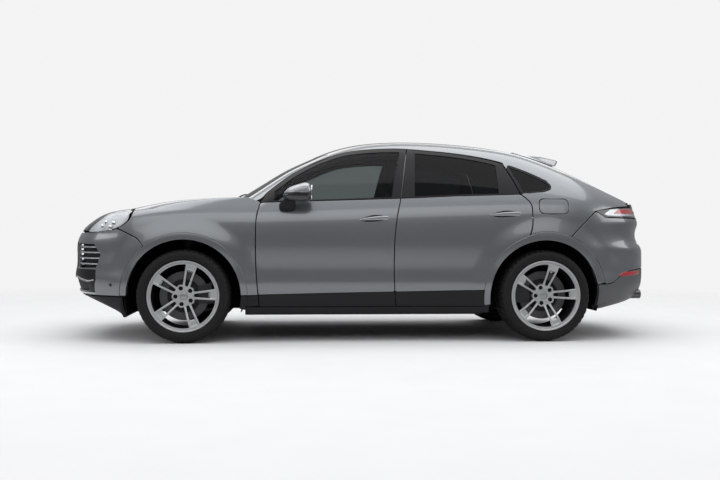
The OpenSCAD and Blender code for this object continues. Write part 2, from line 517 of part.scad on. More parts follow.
module exhaust_tips() {
    color(metal) both() for (y = [430, 560]) difference() {
        union() {
            block(-2388, -2150, y - 18, y + 18, 337, 413);
            for (s = [-18, 18]) translate([-2388, y + s, 375]) rotate([0, 90, 0]) cylinder(r = 38, h = 238);
        }
        block(-2460, -2170, y - 18, y + 18, 341, 409);
        for (s = [-18, 18]) translate([-2460, y + s, 375]) rotate([0, 90, 0]) cylinder(r = 34, h = 290);
    }
}
module left_tail_light() {
    e = gate_half + gap + 1;
    a = path([[69.5, 1060], [66, 1040], [61, 1020], [54, 1008], [45, 1004], [tail_angle(e, 1004), 1004]], 7);
    b = path([[69.5, 1062], [66, 1070], [60, 1081], [54, 1089], [45, 1091], [tail_angle(e, 1090), 1090]], 7);
    o = [for (j = [0 : 2]) [for (i = [0 : 7]) let (p = mix(a[i], b[i], j / 2)) tail_point(p[0], p[1])]];
    shell(o, [for (row = o) [for (i = [0 : 7]) row[i] + [30, mix(-30, 0, i / 7), 0]]]);
}
module tail_lights() {
    color("#8e1519") both() left_tail_light();
}
gate_half = 598;
function tail_angle(y, z) = asin((y / side_width(-2250, z)) ^ (tail_power / 2));
function gate_point(t, z) = tail_point(t * tail_angle(gate_half, z), z);
function gate_grid(n, m) = let (
    l = [for (i = [0 : n]) let (x = mix(-1256, -2244, i / n)) [x, lookup(x, gate_edge)]])
    coons(l, [for (p = l) [p[0], -p[1]]],
    [for (j = [0 : m]) let (y = mix(l[0][1], -l[0][1], j / m)) [-1256 - 6 * (1 - (y / l[0][1]) ^ 2), y]],
    [for (j = [0 : m]) let (y = mix(l[n][1], -l[n][1], j / m)) [-2368 + 124 * (y / l[n][1]) ^ 2, y]]);
window_plan = concat([for (i = [0 : 6]) let (y = mix(-505, 505, i / 6)) [-1490, y]],
    [for (i = [0 : 6]) let (y = mix(545, -545, i / 6)) [-2262 + 60 * (y / 545) ^ 2, y]]);
module tailgate() {
    g = gate_grid(9, 8);
    n = inset(g, 24, 6, 24, 24);
    low = [for (j = [0 : 5]) [for (i = [0 : 12]) gate_point(mix(1, -1, i / 12), mix(795, 1128, j / 5))]];
    color(paint) meshed() union() {
        difference() {
            shell(top_grid(g), top_grid(n, 46));
            down(window_plan, 900, 1700);
        }
        shell(low, [for (row = low) [for (p = row) p + [70, -sign(p[1]) * min(20, abs(p[1]) / 30), 0]]]);
    }
}
module tailgate_glass() {
    l = [for (i = [0 : 6]) let (x = mix(-1491, -2200, i / 6)) [x, mix(504, 544, i / 6)]];
    g = coons(l, [for (p = l) [p[0], -p[1]]], [for (j = [0 : 6]) let (y = mix(504, -504, j / 6)) [-1491, y]],
        [for (j = [0 : 6]) let (y = mix(544, -544, j / 6)) [-2260 + 60 * (y / 544) ^ 2, y]]);
    color(tint) shell([for (row = g) [for (p = row) [p[0], p[1], top_z(p[0], p[1]) - 3]]],
        [for (row = g) [for (p = row) [p[0], p[1], top_z(p[0], p[1]) - 3 - glass_t]]]);
}
function spoiler_top(x, y) = lookup(x, [[-1670, 1508], [-1640, 1522], [-1515, 1548], [-1435, 1557],
    [-1340, 1568], [-1262, 1580]]) - 0.9e-4 * y * y;
module roof_spoiler() {
    half = 540;
    o = [for (j = [0 : 8]) let (y = mix(half, -half, j / 8), tip = -1660 + 50 * (y / half) ^ 2)
        [for (i = [0 : 6]) let (x = mix(-1264, tip, i / 6)) [x, y, max(spoiler_top(x, y), top_z(x, y) + 3)]]];
    color(paint) shell(o, [for (row = o) [for (p = row)
        [p[0], p[1], max(top_z(p[0], p[1]) + 1, p[2] - 30)]]]);
}
module tailgate_light() {
    o = [for (j = [0 : 1]) [for (i = [0 : 12]) gate_point(mix(1, -1, i / 12), 1012 + 74 * j) - [4, 0, 0]]];
    color("#8e1519") shell([for (row = o) [for (p = row) p - [10, 0, 0]]], o);
}

module quarter_glass() {
    low = polyline([[-1247, 1213], [-1300, 1213], [-1408, 1223], [-1467, 1241]], 4);
    high = polyline([[-1147.5, 1427], [-1267, 1379], [-1376, 1327], [-1474, 1262]], 4);
    g = coons(low, high, polyline([low[0], high[0]], 3), polyline([low[4], high[4]], 3));
    color(tint) both() shell(side_grid(g, 6), side_grid(g, 6 + glass_t));
}
module flap() {
    a = flap_outline(-gap - 1);
    meshed() intersection() {
        across(a, 800, 1100);
        shell(side_grid(flap_grid), side_grid(flap_grid, 12));
    }
}
flap_grid = rectangle_grid(-1340, -1640, 1010, 1180, 4, 3);

// Roof and windscreen
module roof_panel() {
    l = [for (i = [0 : 9]) let (x = mix(330, -1244, i / 9)) [x, rail_y(x) - gap]];
    g = coons(l, [for (p = l) [p[0], -p[1]]],
        [for (j = [0 : 8]) let (y = mix(l[0][1], -l[0][1], j / 8)) [330 + 120 * (1 - (y / l[0][1]) ^ 2), y]],
        [for (j = [0 : 8]) let (y = mix(l[9][1], -l[9][1], j / 8)) [-1244 - 6 * (1 - (y / l[9][1]) ^ 2), y]]);
    color(black) shell(top_grid(g), top_grid(g, 28));
}
module windshield() {
    l = [for (i = [0 : 7]) let (x = mix(1026, 336, i / 7)) [x, rail_y(x) - gap]];
    g = coons(l, [for (p = l) [p[0], -p[1]]],
        [for (j = [0 : 8]) let (y = mix(l[0][1], -l[0][1], j / 8)) [1026 + 100 * (1 - (y / l[0][1]) ^ 2), y]],
        [for (j = [0 : 8]) let (y = mix(l[7][1], -l[7][1], j / 8)) [336 + 120 * (1 - (y / l[7][1]) ^ 2), y]]);
    color(tint) shell(top_grid(g, 2), top_grid(g, 2 + glass_t));
}

// Floor, bulkheads, rails and beams
module underbody() {
    color(dark) union() {
        block(-902, 1000, -698, 698, 222, 300);
        block(982, 1000, -690, 690, 290, 1060);
        across([[-860, 250], [-900, 470], [-1230, 470], [-1230, 600], [-2290, 600], [-2290, 570],
            [-1260, 570], [-1260, 440], [-925, 440], [-925, 250]], -600, 600);
        block(-2300, -2284, -590, 590, 560, 775);
        both() block(990, 2255, 395, 470, 430, 560);
        block(2200, 2255, -450, 450, 520, 560);
        // jacking pads
        both() for (x = [780, -800]) block(x - 45, x + 45, 610, 690, 205, 230);
    }
}
module liner(x, r, y0, y1) {
    difference() {
        along_y(x, hub_z, r + 8, y0, y1);
        along_y(x, hub_z, r, y0 + 8, y1 + 10);
        along_y(x, hub_z, 150, y0 - 5, y0 + 50);
        block(x - 600, x + 600, y0 - 10, y1 + 10, -200, hub_z - 130);
        block(x - 150, x + 150, y0 - 10, y0 + 50, 0, hub_z + 240);
    }
}
module wheel_liners() {
    color(black) both() {
        liner(front_x, 462, 485, 885);
        liner(rear_x, 462, 650, 885);
    }
}

// Wheels: dished rim with five pairs of slim spokes, hub and brake disc in one, on the axle line
pair_angle = 15;
pair_step = 72;
module spoke_pair() {
    for (s = [-1, 1]) polygon([[s * 10, 60], [s * 28, 60], [s * 46, 258], [s * 28, 258]]);
}
module rim(h, seat, side) {
    barrel = [[rim_r - 11, h + 9], [rim_r - 3, h + 9], [rim_r, h + 4], [rim_r - 6, h + 0.4], [262, h],
        [262, -h], [rim_r - 2, -h - 0.4], [rim_r - 2, -h - 9], [262, -h - 9], [250, 8 - h], [248, 24 - h],
        [248, h - 80], [250, h - 10], [262, h + 7]];
    hub = [[0, seat - 70], [95, seat - 70], [95, seat - 8], [88, seat + 12], [34, seat + 20], [34, seat + 30],
        [0, seat + 30]];
    disc = [[90, seat - 66], [disc_r, seat - 66], [disc_r, seat - 30], [90, seat - 30]];
    dish = [[50, seat - 8], [90, seat + 2], [200, h - 30], [257, h - 28], [257, h + 1], [200, h - 2],
        [90, seat + 24], [50, seat + 18]];
    pad = [[204, h - 28], [257, h - 26], [257, h - 4], [204, h - 7]];
    mirror([0, side > 0 ? 0 : 1, 0]) rotate([-90, 0, 0]) difference() {
        union() {
            rotate_extrude($fn = 96) polygon(barrel);
            rotate_extrude() polygon(hub);
            rotate_extrude($fn = 96) polygon(disc);
            intersection() {
                translate([0, 0, -200]) linear_extrude(500)
                    for (k = [0 : 4]) rotate(k * pair_step + pair_angle) spoke_pair();
                rotate_extrude($fn = 96) polygon(dish);
            }
            // pads that join each pair at the rim
            intersection() {
                translate([0, 0, -200]) linear_extrude(500)
                    for (k = [0 : 4]) rotate(k * pair_step + pair_angle)
                        polygon([[-30, 190], [30, 190], [36, 258], [-36, 258]]);
                rotate_extrude($fn = 96) polygon(pad);
            }
        }
        translate([0, 0, seat - 80]) cylinder(r = axle_r + 0.05, h = 90);
        for (k = [0 : 4]) rotate((k + 0.5) * pair_step + pair_angle)
            translate([0, bolt_circle / 2, seat - 2]) cylinder(r = 14, h = 60);
    }
}
module tyre(h, w) {
    half = [[262.3, h - 0.3], [rim_r + 1, h - 0.3], [rim_r + 4, h + 8], [rim_r + 14, w / 2 - 6],
        [rim_r + 34, w / 2], [rim_r + 50, w / 2 - 2], [tyre_r - 17, w / 2 - 14], [tyre_r - 6, w / 2 - 32],
        [tyre_r, w / 2 - 60]];
    profile = concat(half, [for (p = reverse(half)) [p[0], -p[1]]]);
    rotate([-90, 0, 0]) rotate_extrude($fn = 96) polygon(profile);
}
module front_rim(s) {
    color(metal) translate([front_x, s * front_track / 2, hub_z]) rim(front_rim_h, front_seat, s);
}
module rear_rim(s) {
    color(metal) translate([rear_x, s * rear_track / 2, hub_z]) rim(rear_rim_h, rear_seat, s);
}
module front_tyre(s) {
    color(black) translate([front_x, s * front_track / 2, hub_z]) tyre(front_rim_h, front_tyre_w);
}
module rear_tyre(s) {
    color(black) translate([rear_x, s * rear_track / 2, hub_z]) tyre(rear_rim_h, rear_tyre_w - 8);
}
king_y = 770;
pin_r = 15;
front_hub_y = front_track / 2 + front_seat - 72;
rear_hub_y = rear_track / 2 + rear_seat - 72;
// Brake caliper over the disc with its bracket, on the side d of the axle
module caliper(x, y, d) {
    difference() {
        across([[x + d * 110, hub_z - 60], [x + d * 235, hub_z - 60], [x + d * 215, hub_z + 108],
            [x + d * 110, hub_z + 70]], y - 20, y + 62);
        along_y(x, hub_z, disc_r + 6, y, y + 48);
    }
    block(min(x + d * 30, x + d * 150), max(x + d * 30, x + d * 150), y - 34, y - 8, hub_z - 40, hub_z + 40);
}
module left_knuckle() {
    difference() {
        union() {
            block(front_x - 42, front_x + 42, king_y - 34, king_y + 34, 250, 515);
            along_y(front_x, hub_z, 60, king_y - 30, front_hub_y - 8);
            along_y(front_x, hub_z, axle_r, king_y, front_hub_y + 78);
            caliper(front_x, front_hub_y, -1);
        }
        for (z = [240, 470]) translate([front_x, king_y, z]) cylinder(r = pin_r + 0.1, h = 60);
    }
}
// Two-legged arm in plan, from its feet at y0 to the steering pin
module wishbone(spread, y0, z0, z1) {
    for (s = [-1, 1]) down([[front_x + s * (spread - 18), y0], [front_x + s * (spread + 18), y0],
        [front_x + s * 26, king_y], [front_x - s * 10, king_y]], z0, z1);
    translate([front_x, king_y, z0]) cylinder(r = 36, h = z1 - z0);
}
module left_front_leg() {
    spring_y = 580;
    wishbone(150, 380, 215, 243);
    translate([front_x, king_y, 230]) cylinder(r = pin_r, h = 65);
    // plate between the legs that carries the damper and its spring
    down([[front_x - 90, 535], [front_x + 90, 535], [front_x + 62, 640], [front_x - 62, 640]], 215, 243);
    translate([front_x, spring_y, 230]) cylinder(r = 24, h = 596);
    translate([front_x, spring_y, 570]) cylinder(r = 58, h = 14);
    translate([front_x, spring_y, 580]) cylinder(r = 46, h = 236);
    translate([front_x, spring_y, 812]) cylinder(r = 40, h = 14);
}
module front_suspension() {
    color(metal) {
        union() {
            difference() {
                block(front_x - 230, front_x + 230, -394, 394, 232, 300);
                both() block(front_x - 150, front_x + 150, 50, 300, 220, 310);
            }
            both() left_front_leg();
        }
        both() union() {
            wishbone(92, 470, 522, 545);
            translate([front_x, king_y, 475]) cylinder(r = pin_r, h = 60);
        }
    }
}
// Carrier, arms, half shaft and spring of one rear wheel
module left_rear_leg() {
    inner = 300;
    block(rear_x - 45, rear_x + 45, rear_hub_y - 110, rear_hub_y - 8, 270, 470);
    outer = rear_hub_y - 60;
    down([[rear_x - 150, inner], [rear_x + 150, inner], [rear_x + 42, outer], [rear_x - 42, outer]], 276, 300);
    for (s = [-1, 1]) {
        down([[rear_x + s * 60, inner], [rear_x + s * 92, inner], [rear_x + s * 42, outer],
            [rear_x + s * 12, outer]], 442, 466);
        block(rear_x + s * 76 - 24, rear_x + s * 76 + 24, inner - 40, inner + 8, 340, 466);
    }
    along_y(rear_x, hub_z, 20, 90, rear_hub_y - 60);
    for (y = [110, rear_hub_y - 170]) along_y(rear_x, hub_z, 42, y, y + 70);
    along_y(rear_x, hub_z, axle_r, rear_hub_y - 60, rear_hub_y + 78);
    caliper(rear_x, rear_hub_y, 1);
    // spring up to the boot floor
    translate([rear_x - 90, 500, 290]) cylinder(r = 50, h = 280);
}
module rear_suspension() {
    color(metal) union() {
        difference() {
            block(rear_x - 190, rear_x + 190, -330, 330, 290, 352);
            block(rear_x - 120, rear_x + 120, -240, 240, 280, 360);
        }
        // differential
        along_y(rear_x, hub_z, 88, -112, 112);
        block(rear_x - 130, rear_x + 130, -70, 70, 300, 345);
        both() left_rear_leg();
    }
}
module engine_block() {
    color(dark) block(1240, 1800, -330, 330, 300, 900);
}

// Cabin
module seat(x, y) {
    across([[x + 260, 300], [x + 290, 470], [x + 280, 560], [x - 180, 520], [x - 330, 1060], [x - 420, 1060],
        [x - 280, 430], [x - 250, 300]], y - 235, y + 235);
    // headrest
    across([[x - 345, 1066], [x - 390, 1250], [x - 460, 1240], [x - 425, 1066]], y - 140, y + 140);
}
module seats() {
    color(black) {
        both() seat(120, 370);
        // rear bench
        across([[-460, 300], [-440, 560], [-900, 520], [-1060, 1080], [-1150, 1080], [-1010, 475], [-860, 475],
            [-830, 300]], -590, 590);
    }
}
module dashboard() {
    color(black) union() {
        across([[1030, 1090], [1030, 1066], [976, 1066], [976, 900], [880, 700], [700, 760], [660, 900],
            [720, 1050], [900, 1096]], -680, 680);
        // console between the seats
        block(-200, 720, -120, 120, 302, 720);
    }
}
module steering_wheel() {
    color(black) translate([560, 370, 960]) rotate([0, -68, 0]) union() {
        rotate_extrude() translate([175, 0]) circle(r = 15);
        cylinder(r = 60, h = 30, center = true);
        for (a = [0, 180, 270]) rotate(a) translate([40, -18, -8]) cube([130, 36, 16]);
        translate([0, 0, -70]) cylinder(r = 20, h = 70);
    }
}

underbody();
wheel_liners();
color(paint) both() left_side_frame();  // side_frames
roof_panel();
windshield();
cowl();
color(paint) both() left_fender();  // fenders
front_bumper();
front_chin();
grille();
headlights();
rear_bumper();
rear_diffuser();
exhaust_tips();
tail_lights();
hood();
color(paint) left_front_door();  // door_front_left
color(paint) mirror([0, 1, 0]) left_front_door();  // door_front_right
color(paint) left_rear_door();  // door_rear_left
color(paint) mirror([0, 1, 0]) left_rear_door();  // door_rear_right
front_pane();  // glass_front_left
mirror([0, 1, 0]) front_pane();  // glass_front_right
rear_pane();  // glass_rear_left
mirror([0, 1, 0]) rear_pane();  // glass_rear_right
quarter_glass();
color(metal) mirror_shell();  // mirror_left
color(metal) mirror([0, 1, 0]) mirror_shell();  // mirror_right
tailgate();
tailgate_glass();
roof_spoiler();
tailgate_light();
color(paint) flap();  // charge_flap
color(paint) mirror([0, 1, 0]) flap();  // fuel_flap
front_suspension();
color(metal) left_knuckle();  // knuckle_left
color(metal) mirror([0, 1, 0]) left_knuckle();  // knuckle_right
rear_suspension();
front_rim(1);  // rim_front_left
front_rim(-1);  // rim_front_right
rear_rim(1);  // rim_rear_left
rear_rim(-1);  // rim_rear_right
front_tyre(1);  // tyre_front_left
front_tyre(-1);  // tyre_front_right
rear_tyre(1);  // tyre_rear_left
rear_tyre(-1);  // tyre_rear_right
engine_block();
seats();
dashboard();
steering_wheel();
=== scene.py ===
"""Finish of the coupe-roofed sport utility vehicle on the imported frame.

Skins, trim, wheels, lamps, cabin and materials, in millimetres until a mesh is made.
"""
import math
import bmesh
import bpy
import numpy as np
from mathutils import Matrix, Vector
from mathutils.geometry import delaunay_2d_cdt

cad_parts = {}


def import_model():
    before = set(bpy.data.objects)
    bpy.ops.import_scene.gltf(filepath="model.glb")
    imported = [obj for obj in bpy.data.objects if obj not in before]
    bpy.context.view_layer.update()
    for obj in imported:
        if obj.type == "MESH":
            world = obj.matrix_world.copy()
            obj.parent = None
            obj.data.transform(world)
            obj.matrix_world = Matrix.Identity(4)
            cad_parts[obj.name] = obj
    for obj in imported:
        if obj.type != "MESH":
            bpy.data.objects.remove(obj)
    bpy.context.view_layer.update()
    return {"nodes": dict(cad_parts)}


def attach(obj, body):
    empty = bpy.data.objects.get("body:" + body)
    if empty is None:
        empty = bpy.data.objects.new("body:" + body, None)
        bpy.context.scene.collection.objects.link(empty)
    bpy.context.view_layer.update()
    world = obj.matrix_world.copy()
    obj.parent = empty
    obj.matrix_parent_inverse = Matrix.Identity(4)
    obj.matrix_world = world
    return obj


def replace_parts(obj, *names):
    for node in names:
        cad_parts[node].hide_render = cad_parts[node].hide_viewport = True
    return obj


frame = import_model()
MM = 0.001
FRONT_X = 1480
REAR_X = -1415
HUB_Z = 370
GAP = 6
DOOR_DEPTH = 120
DOOR_TAPER = 78
PICTURE_WIDTH = 720
SENSOR_WIDTH = 36


# Body rules, the same as in the part's source, in millimetres
def natural_spline(points, count=3000):
    """A smooth curve of y over x through points, as two arrays."""
    p = np.array(points, float)
    x, y = p[:, 0], p[:, 1]
    n = len(x)
    h = np.diff(x)
    a = np.zeros((n, n))
    r = np.zeros(n)
    a[0, 0] = a[-1, -1] = 1
    for i in range(1, n - 1):
        a[i, i - 1] = h[i - 1]
        a[i, i] = 2 * (h[i - 1] + h[i])
        a[i, i + 1] = h[i]
        r[i] = 6 * ((y[i + 1] - y[i]) / h[i] - (y[i] - y[i - 1]) / h[i - 1])
    m = np.linalg.solve(a, r)
    t = np.linspace(x[0], x[-1], count)
    i = np.clip(np.searchsorted(x, t, side="right") - 1, 0, n - 2)
    u = (x[i + 1] - t) / h[i]
    v = (t - x[i]) / h[i]
    return t, u * y[i] + v * y[i + 1] + ((u ** 3 - u) * m[i] + (v ** 3 - v) * m[i + 1]) * h[i] ** 2 / 6


def travel(points):
    """Distance along a line of points from its start."""
    return np.concatenate([[0], np.cumsum(np.linalg.norm(np.diff(points, axis=0), axis=1))])


def path(points, count):
    """A smooth path through points, in count equal steps of chord length."""
    p = np.array(points, float)
    c = travel(p)
    return np.stack([natural_spline(np.stack([c, p[:, k]], 1), count + 1)[1] for k in range(p.shape[1])], 1)


def polyline(points, count):
    p = np.array(points, float)
    c = travel(p)
    t = np.linspace(0, c[-1], count + 1)
    return np.stack([np.interp(t, c, p[:, k]) for k in range(p.shape[1])], 1)


def look(table, x):
    return np.interp(x, table[0], table[1])


def ease(a, b, x):
    t = np.clip((x - a) / (b - a), 0, 1)
    return t * t * (3 - 2 * t)


HALF = natural_spline([[-2500, 972], [-2000, 972], [-1500, 972], [-1100, 966], [-600, 959], [0, 956],
                       [600, 957], [1200, 959], [1700, 956], [2500, 956]])
RISE = natural_spline([[-2500, 15], [-2100, 40], [-1700, 72], [-1350, 80], [-1000, 71], [-500, 54], [0, 34],
                       [300, 22], [700, 7], [1000, 0], [1600, 0], [2500, 0]])
SIDE = natural_spline([[150, -112], [235, -72], [330, -42], [430, -17], [480, -12], [560, -15], [660, -9],
                       [780, 0], [900, -5], [1000, -21], [1113, -68], [1330, -178], [1536, -305],
                       [1760, -455]])
NOSE_PATH = path([[2300, 150], [2360, 260], [2425, 383], [2457, 470], [2465, 520], [2456, 580], [2452, 690],
                  [2444, 800], [2415, 862], [2370, 905], [2290, 955], [2205, 1002], [2115, 1036],
                  [1950, 1064], [1820, 1091], [1670, 1119], [1520, 1136], [1300, 1150], [1050, 1158],
                  [700, 1164]], 4000)
NOSE = (NOSE_PATH[:, 1], NOSE_PATH[:, 0])
TAIL = natural_spline([[150, -1900], [230, -2020], [265, -2190], [300, -2325], [340, -2395], [400, -2442],
                       [480, -2462], [600, -2465], [700, -2462], [755, -2450], [800, -2415], [840, -2398],
                       [905, -2402], [960, -2420], [1010, -2408], [1080, -2385], [1130, -2374],
                       [1300, -2330], [1700, -2200]])
ROOF = natural_spline([[-2500, 1072], [-2340, 1149], [-2124, 1250], [-1895, 1359], [-1691, 1450],
                       [-1500, 1523], [-1250, 1595], [-1000, 1637], [-750, 1661], [-530, 1673],
                       [-340, 1676], [-170, 1671], [0, 1657], [180, 1625], [350, 1571], [520, 1497],
                       [690, 1415], [865, 1309], [1000, 1225], [1120, 1150], [1300, 1035], [1450, 940]])
BELT = (np.array([-1480, -1361, -1230, -1013, -698, -400, -160, 128, 476, 739, 880]),
        np.array([1232, 1206, 1192, 1184, 1174, 1159, 1149, 1139, 1127, 1118, 1113]))
TAPER = natural_spline([[-2500, 190], [-2000, 150], [-1500, 82], [-1000, 30], [-500, 4], [0, 0], [2500, 0]])
GATE_EDGE = natural_spline([[-2260, 598], [-2000, 587], [-1820, 576], [-1650, 566], [-1460, 556],
                            [-1256, 548]])
HOOD_EDGE = natural_spline([[1000, 743], [1300, 747], [1600, 749], [1880, 744], [2004, 706], [2128, 645],
                            [2250, 590], [2345, 556]])
TAIL_START = -1500
TAIL_POWER = 2.65
SOFT = 110


def nose_power(z):
    return 2.6 + 3.4 * ease(850, 1060, z)


def nose_start(z):
    return 1650 - 750 * ease(850, 1060, z)


def nose_factor(x, z):
    s, e, n = nose_start(z), look(NOSE, z), nose_power(z)
    t = np.clip((x - s) / np.maximum(e - s, 1), 0, 1)
    f = (1 - t ** n) ** (1 / n)
    return np.where(x <= s, 1.0, np.where(x >= e, 0.0, f))


def tail_factor(x, z):
    e = look(TAIL, z)
    t = np.clip((TAIL_START - x) / (TAIL_START - e), 0, 1)
    return (1 - t ** TAIL_POWER) ** (1 / TAIL_POWER)


def flare(x, z):
    return 24 * (1 - ease(465, 640, np.hypot(x - FRONT_X, z - HUB_Z))) \
        + 19.5 * (1 - ease(465, 650, np.hypot(x - REAR_X, z - HUB_Z)))


def side_width(x, z):
    h = z - look(RISE, x) * ease(560, 1140, z)
    u = np.maximum(0, (h - 1050) / 486)
    return look(HALF, x) + look(SIDE, h) - look(TAPER, x) * u * u


def cabin_y(x, z):
    return side_width(x, z) * tail_factor(x, z) + flare(x, z)


def side_y(x, z):
    return side_width(x, z) * nose_factor(x, z) * tail_factor(x, z) + flare(x, z)


def top_z(x, y):
    sweep = 1.6e-4 * ease(-100, 700, x) - 2.6e-4 * ease(-900, -1600, x)
    crown = 1.6e-4 - 1.1e-4 * ease(100, 800, x) - 1.0e-4 * ease(-900, -1700, x)
    return look(ROOF, x + sweep * y * y) - crown * y * y


def soft_max(a, b):
    h = np.maximum(SOFT - np.abs(a - b), 0)
    return np.maximum(a, b) + h * h / (4 * SOFT)


def bisect(outside, lo, hi, steps=34):
    lo, hi = np.array(lo, float), np.array(hi, float)
    for _ in range(steps):
        m = (lo + hi) / 2
        out = outside(m)
        hi = np.where(out, m, hi)
        lo = np.where(out, lo, m)
    return (lo + hi) / 2


def body_y(x, z):
    x, z = np.broadcast_arrays(np.asarray(x, float), np.asarray(z, float))
    s = np.where(x > 1000, side_y(x, z), cabin_y(x, z))
    soft = bisect(lambda m: soft_max(m - s, z - top_z(x, m)) > 0, np.zeros_like(s), s)
    return np.where((x > 1000) | (z < top_z(x, s) - SOFT), s, soft)


def body_z(x, y):
    x, y = np.broadcast_arrays(np.asarray(x, float), np.abs(np.asarray(y, float)))
    t = top_z(x, y)
    return bisect(lambda m: soft_max(y - cabin_y(x, m), m - t) > 0, t - 250, t)


def hood_z(x, y):
    x, y = np.broadcast_arrays(np.asarray(x, float), np.maximum(np.abs(np.asarray(y, float)), 0.5))
    return bisect(lambda m: side_y(x, m) < y, np.full_like(x, 700.0), np.full_like(x, 1164.0))


def nose_point(a, z):
    a, z = np.broadcast_arrays(np.radians(np.asarray(a, float)), np.asarray(z, float))
    n, s, e = nose_power(z), nose_start(z), look(NOSE, z)
    x = s + (e - s) * np.cos(a) ** (2 / n)
    across = np.abs(np.sin(a))
    y = np.sign(a) * (side_width(s, z) * across ** (2 / n) + flare(x, z) * across)
    return np.stack([x, y, z], -1)


def nose_angle(y, z):
    return np.degrees(np.arcsin(np.clip((y / side_width(nose_start(z), z)) ** (nose_power(z) / 2), 0, 1)))


def tail_point(a, z):
    a, z = np.broadcast_arrays(np.radians(np.asarray(a, float)), np.asarray(z, float))
    e = look(TAIL, z)
    x = TAIL_START + (e - TAIL_START) * np.cos(a) ** (2 / TAIL_POWER)
    across = np.abs(np.sin(a))
    y = np.sign(a) * (side_width(x, z) * across ** (2 / TAIL_POWER) + flare(x, z) * across)
    return np.stack([x, y, z], -1)


def tail_angle(y, z):
    return np.degrees(np.arcsin(np.clip((y / side_width(-2250, z)) ** (TAIL_POWER / 2), 0, 1)))


# Side-view lines
DOOR_FRONT = path([[885, 285], [893, 375], [908, 547], [914, 697], [914, 899], [904, 1020], [878, 1112]],
                  120)
MIDDLE = path([[-203, 285], [-190, 403], [-184, 597], [-186, 801], [-201, 954], [-216, 1046], [-241, 1147],
               [-268, 1300], [-318, 1572]], 200)
WINDOW_TOP = [[878, 1112], [845, 1171], [741, 1265], [638, 1344], [534, 1407], [431, 1461], [326, 1503],
              [222, 1536], [117, 1555], [11, 1566], [-94, 1573], [-253, 1575], [-377, 1567], [-515, 1554],
              [-622, 1544], [-728, 1531], [-836, 1515], [-943, 1494], [-1051, 1467], [-1159, 1432],
              [-1267, 1391], [-1376, 1339], [-1452, 1297]]


def belt(x):
    return look(BELT, x)


def door_depth(z):
    return DOOR_DEPTH - DOOR_TAPER * ease(1020, 1150, z)


# Camera at the photograph's place; the focal length is in pixels of its width
def make_camera():
    cam = bpy.data.cameras.new("camera")
    obj = bpy.data.objects.new("camera", cam)
    bpy.context.scene.collection.objects.link(obj)
    yaw, pitch, roll, focal = -0.0791976, -0.0058945, 0.0030467, 906.652
    fwd = Vector((math.sin(yaw) * math.cos(pitch), -math.cos(yaw) * math.cos(pitch), math.sin(pitch)))
    right = fwd.cross(Vector((0, 0, 1))).normalized()
    up = right.cross(fwd)
    r2 = math.cos(roll) * right + math.sin(roll) * up
    u2 = -math.sin(roll) * right + math.cos(roll) * up
    rot = Matrix((r2, u2, -fwd)).transposed()
    obj.matrix_world = Matrix.Translation(Vector((0.66107, 8.14919, 0.85895))) @ rot.to_4x4()
    cam.sensor_fit = "HORIZONTAL"
    cam.sensor_width = SENSOR_WIDTH
    cam.lens = focal / PICTURE_WIDTH * SENSOR_WIDTH
    cam.clip_end = 200
    bpy.context.scene.camera = obj


make_camera()


# Plain meshes from lists of points in millimetres
def make(name, mesh_data, material, body, mirrored=False, crease=None):
    """A piece on a body; with a crease angle its shading is smooth but for edges that turn by more."""
    verts, faces, normals = mesh_data
    verts = np.array(verts, float)
    normals = None if normals is None or crease else np.array(normals, float)
    if mirrored:
        verts[:, 1] *= -1
        faces = [f[::-1] for f in faces]
        if normals is not None:
            normals[:, 1] *= -1
    mesh = bpy.data.meshes.new(name)
    mesh.from_pydata([tuple(v) for v in verts * MM], [], [tuple(int(i) for i in f) for f in faces])
    mesh.polygons.foreach_set("use_smooth", [True] * len(mesh.polygons))
    if normals is not None:
        mesh.normals_split_custom_set_from_vertices([tuple(v) for v in normals])
    if crease:
        tidy_mesh(mesh)
        mesh.set_sharp_from_angle(angle=math.radians(crease))
    mesh.materials.append(material)
    obj = bpy.data.objects.new(name, mesh)
    bpy.context.scene.collection.objects.link(obj)
    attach(obj, body)
    return obj


def tidy_mesh(mesh):
    """Joins points that meet and turns every face outwards."""
    bm = bmesh.new()
    bm.from_mesh(mesh)
    bmesh.ops.remove_doubles(bm, verts=bm.verts, dist=1e-6)
    bmesh.ops.recalc_face_normals(bm, faces=bm.faces)
    bm.to_mesh(mesh)
    bm.free()


def pair(name, mesh_data, material, body, crease=None):
    """The same piece on the left and, mirrored, on the right; body is one name or a pair of them."""
    bodies = body if isinstance(body, tuple) else (body, body)
    return [make(name + "_left", mesh_data, material, bodies[0], crease=crease),
            make(name + "_right", mesh_data, material, bodies[1], mirrored=True, crease=crease)]


def closed_skin(rows):
    """A solid through closed rows of points, with flat ends."""
    v, f, _ = sheet_grid(rows, closed=True)
    n = len(rows[0])
    return v, f + [tuple(range(n))[::-1], tuple(range(len(v) - n, len(v)))], None


def squarish(n, power):
    """Cosines and sines round a circle, drawn out towards a square."""
    t = np.linspace(0, 2 * np.pi, n, False)
    c, s = np.cos(t), np.sin(t)
    return np.sign(c) * np.abs(c) ** power, np.sign(s) * np.abs(s) ** power


def joined(*parts):
    """One mesh from several."""
    verts, faces, normals, n = [], [], [], 0
    for v, f, m in parts:
        verts.append(np.asarray(v, float))
        normals.append(np.asarray(m, float) if m is not None else face_normals(v, f))
        faces += [tuple(i + n for i in q) for q in f]
        n += len(v)
    return np.concatenate(verts), faces, np.concatenate(normals)


def face_normals(verts, faces):
    v = np.asarray(verts, float)
    out = np.zeros_like(v)
    for f in faces:
        a, b, c = v[f[0]], v[f[1]], v[f[2]]
        n = np.cross(b - a, c - a)
        for i in f:
            out[i] += n
    return out / np.maximum(np.linalg.norm(out, axis=1, keepdims=True), 1e-9)


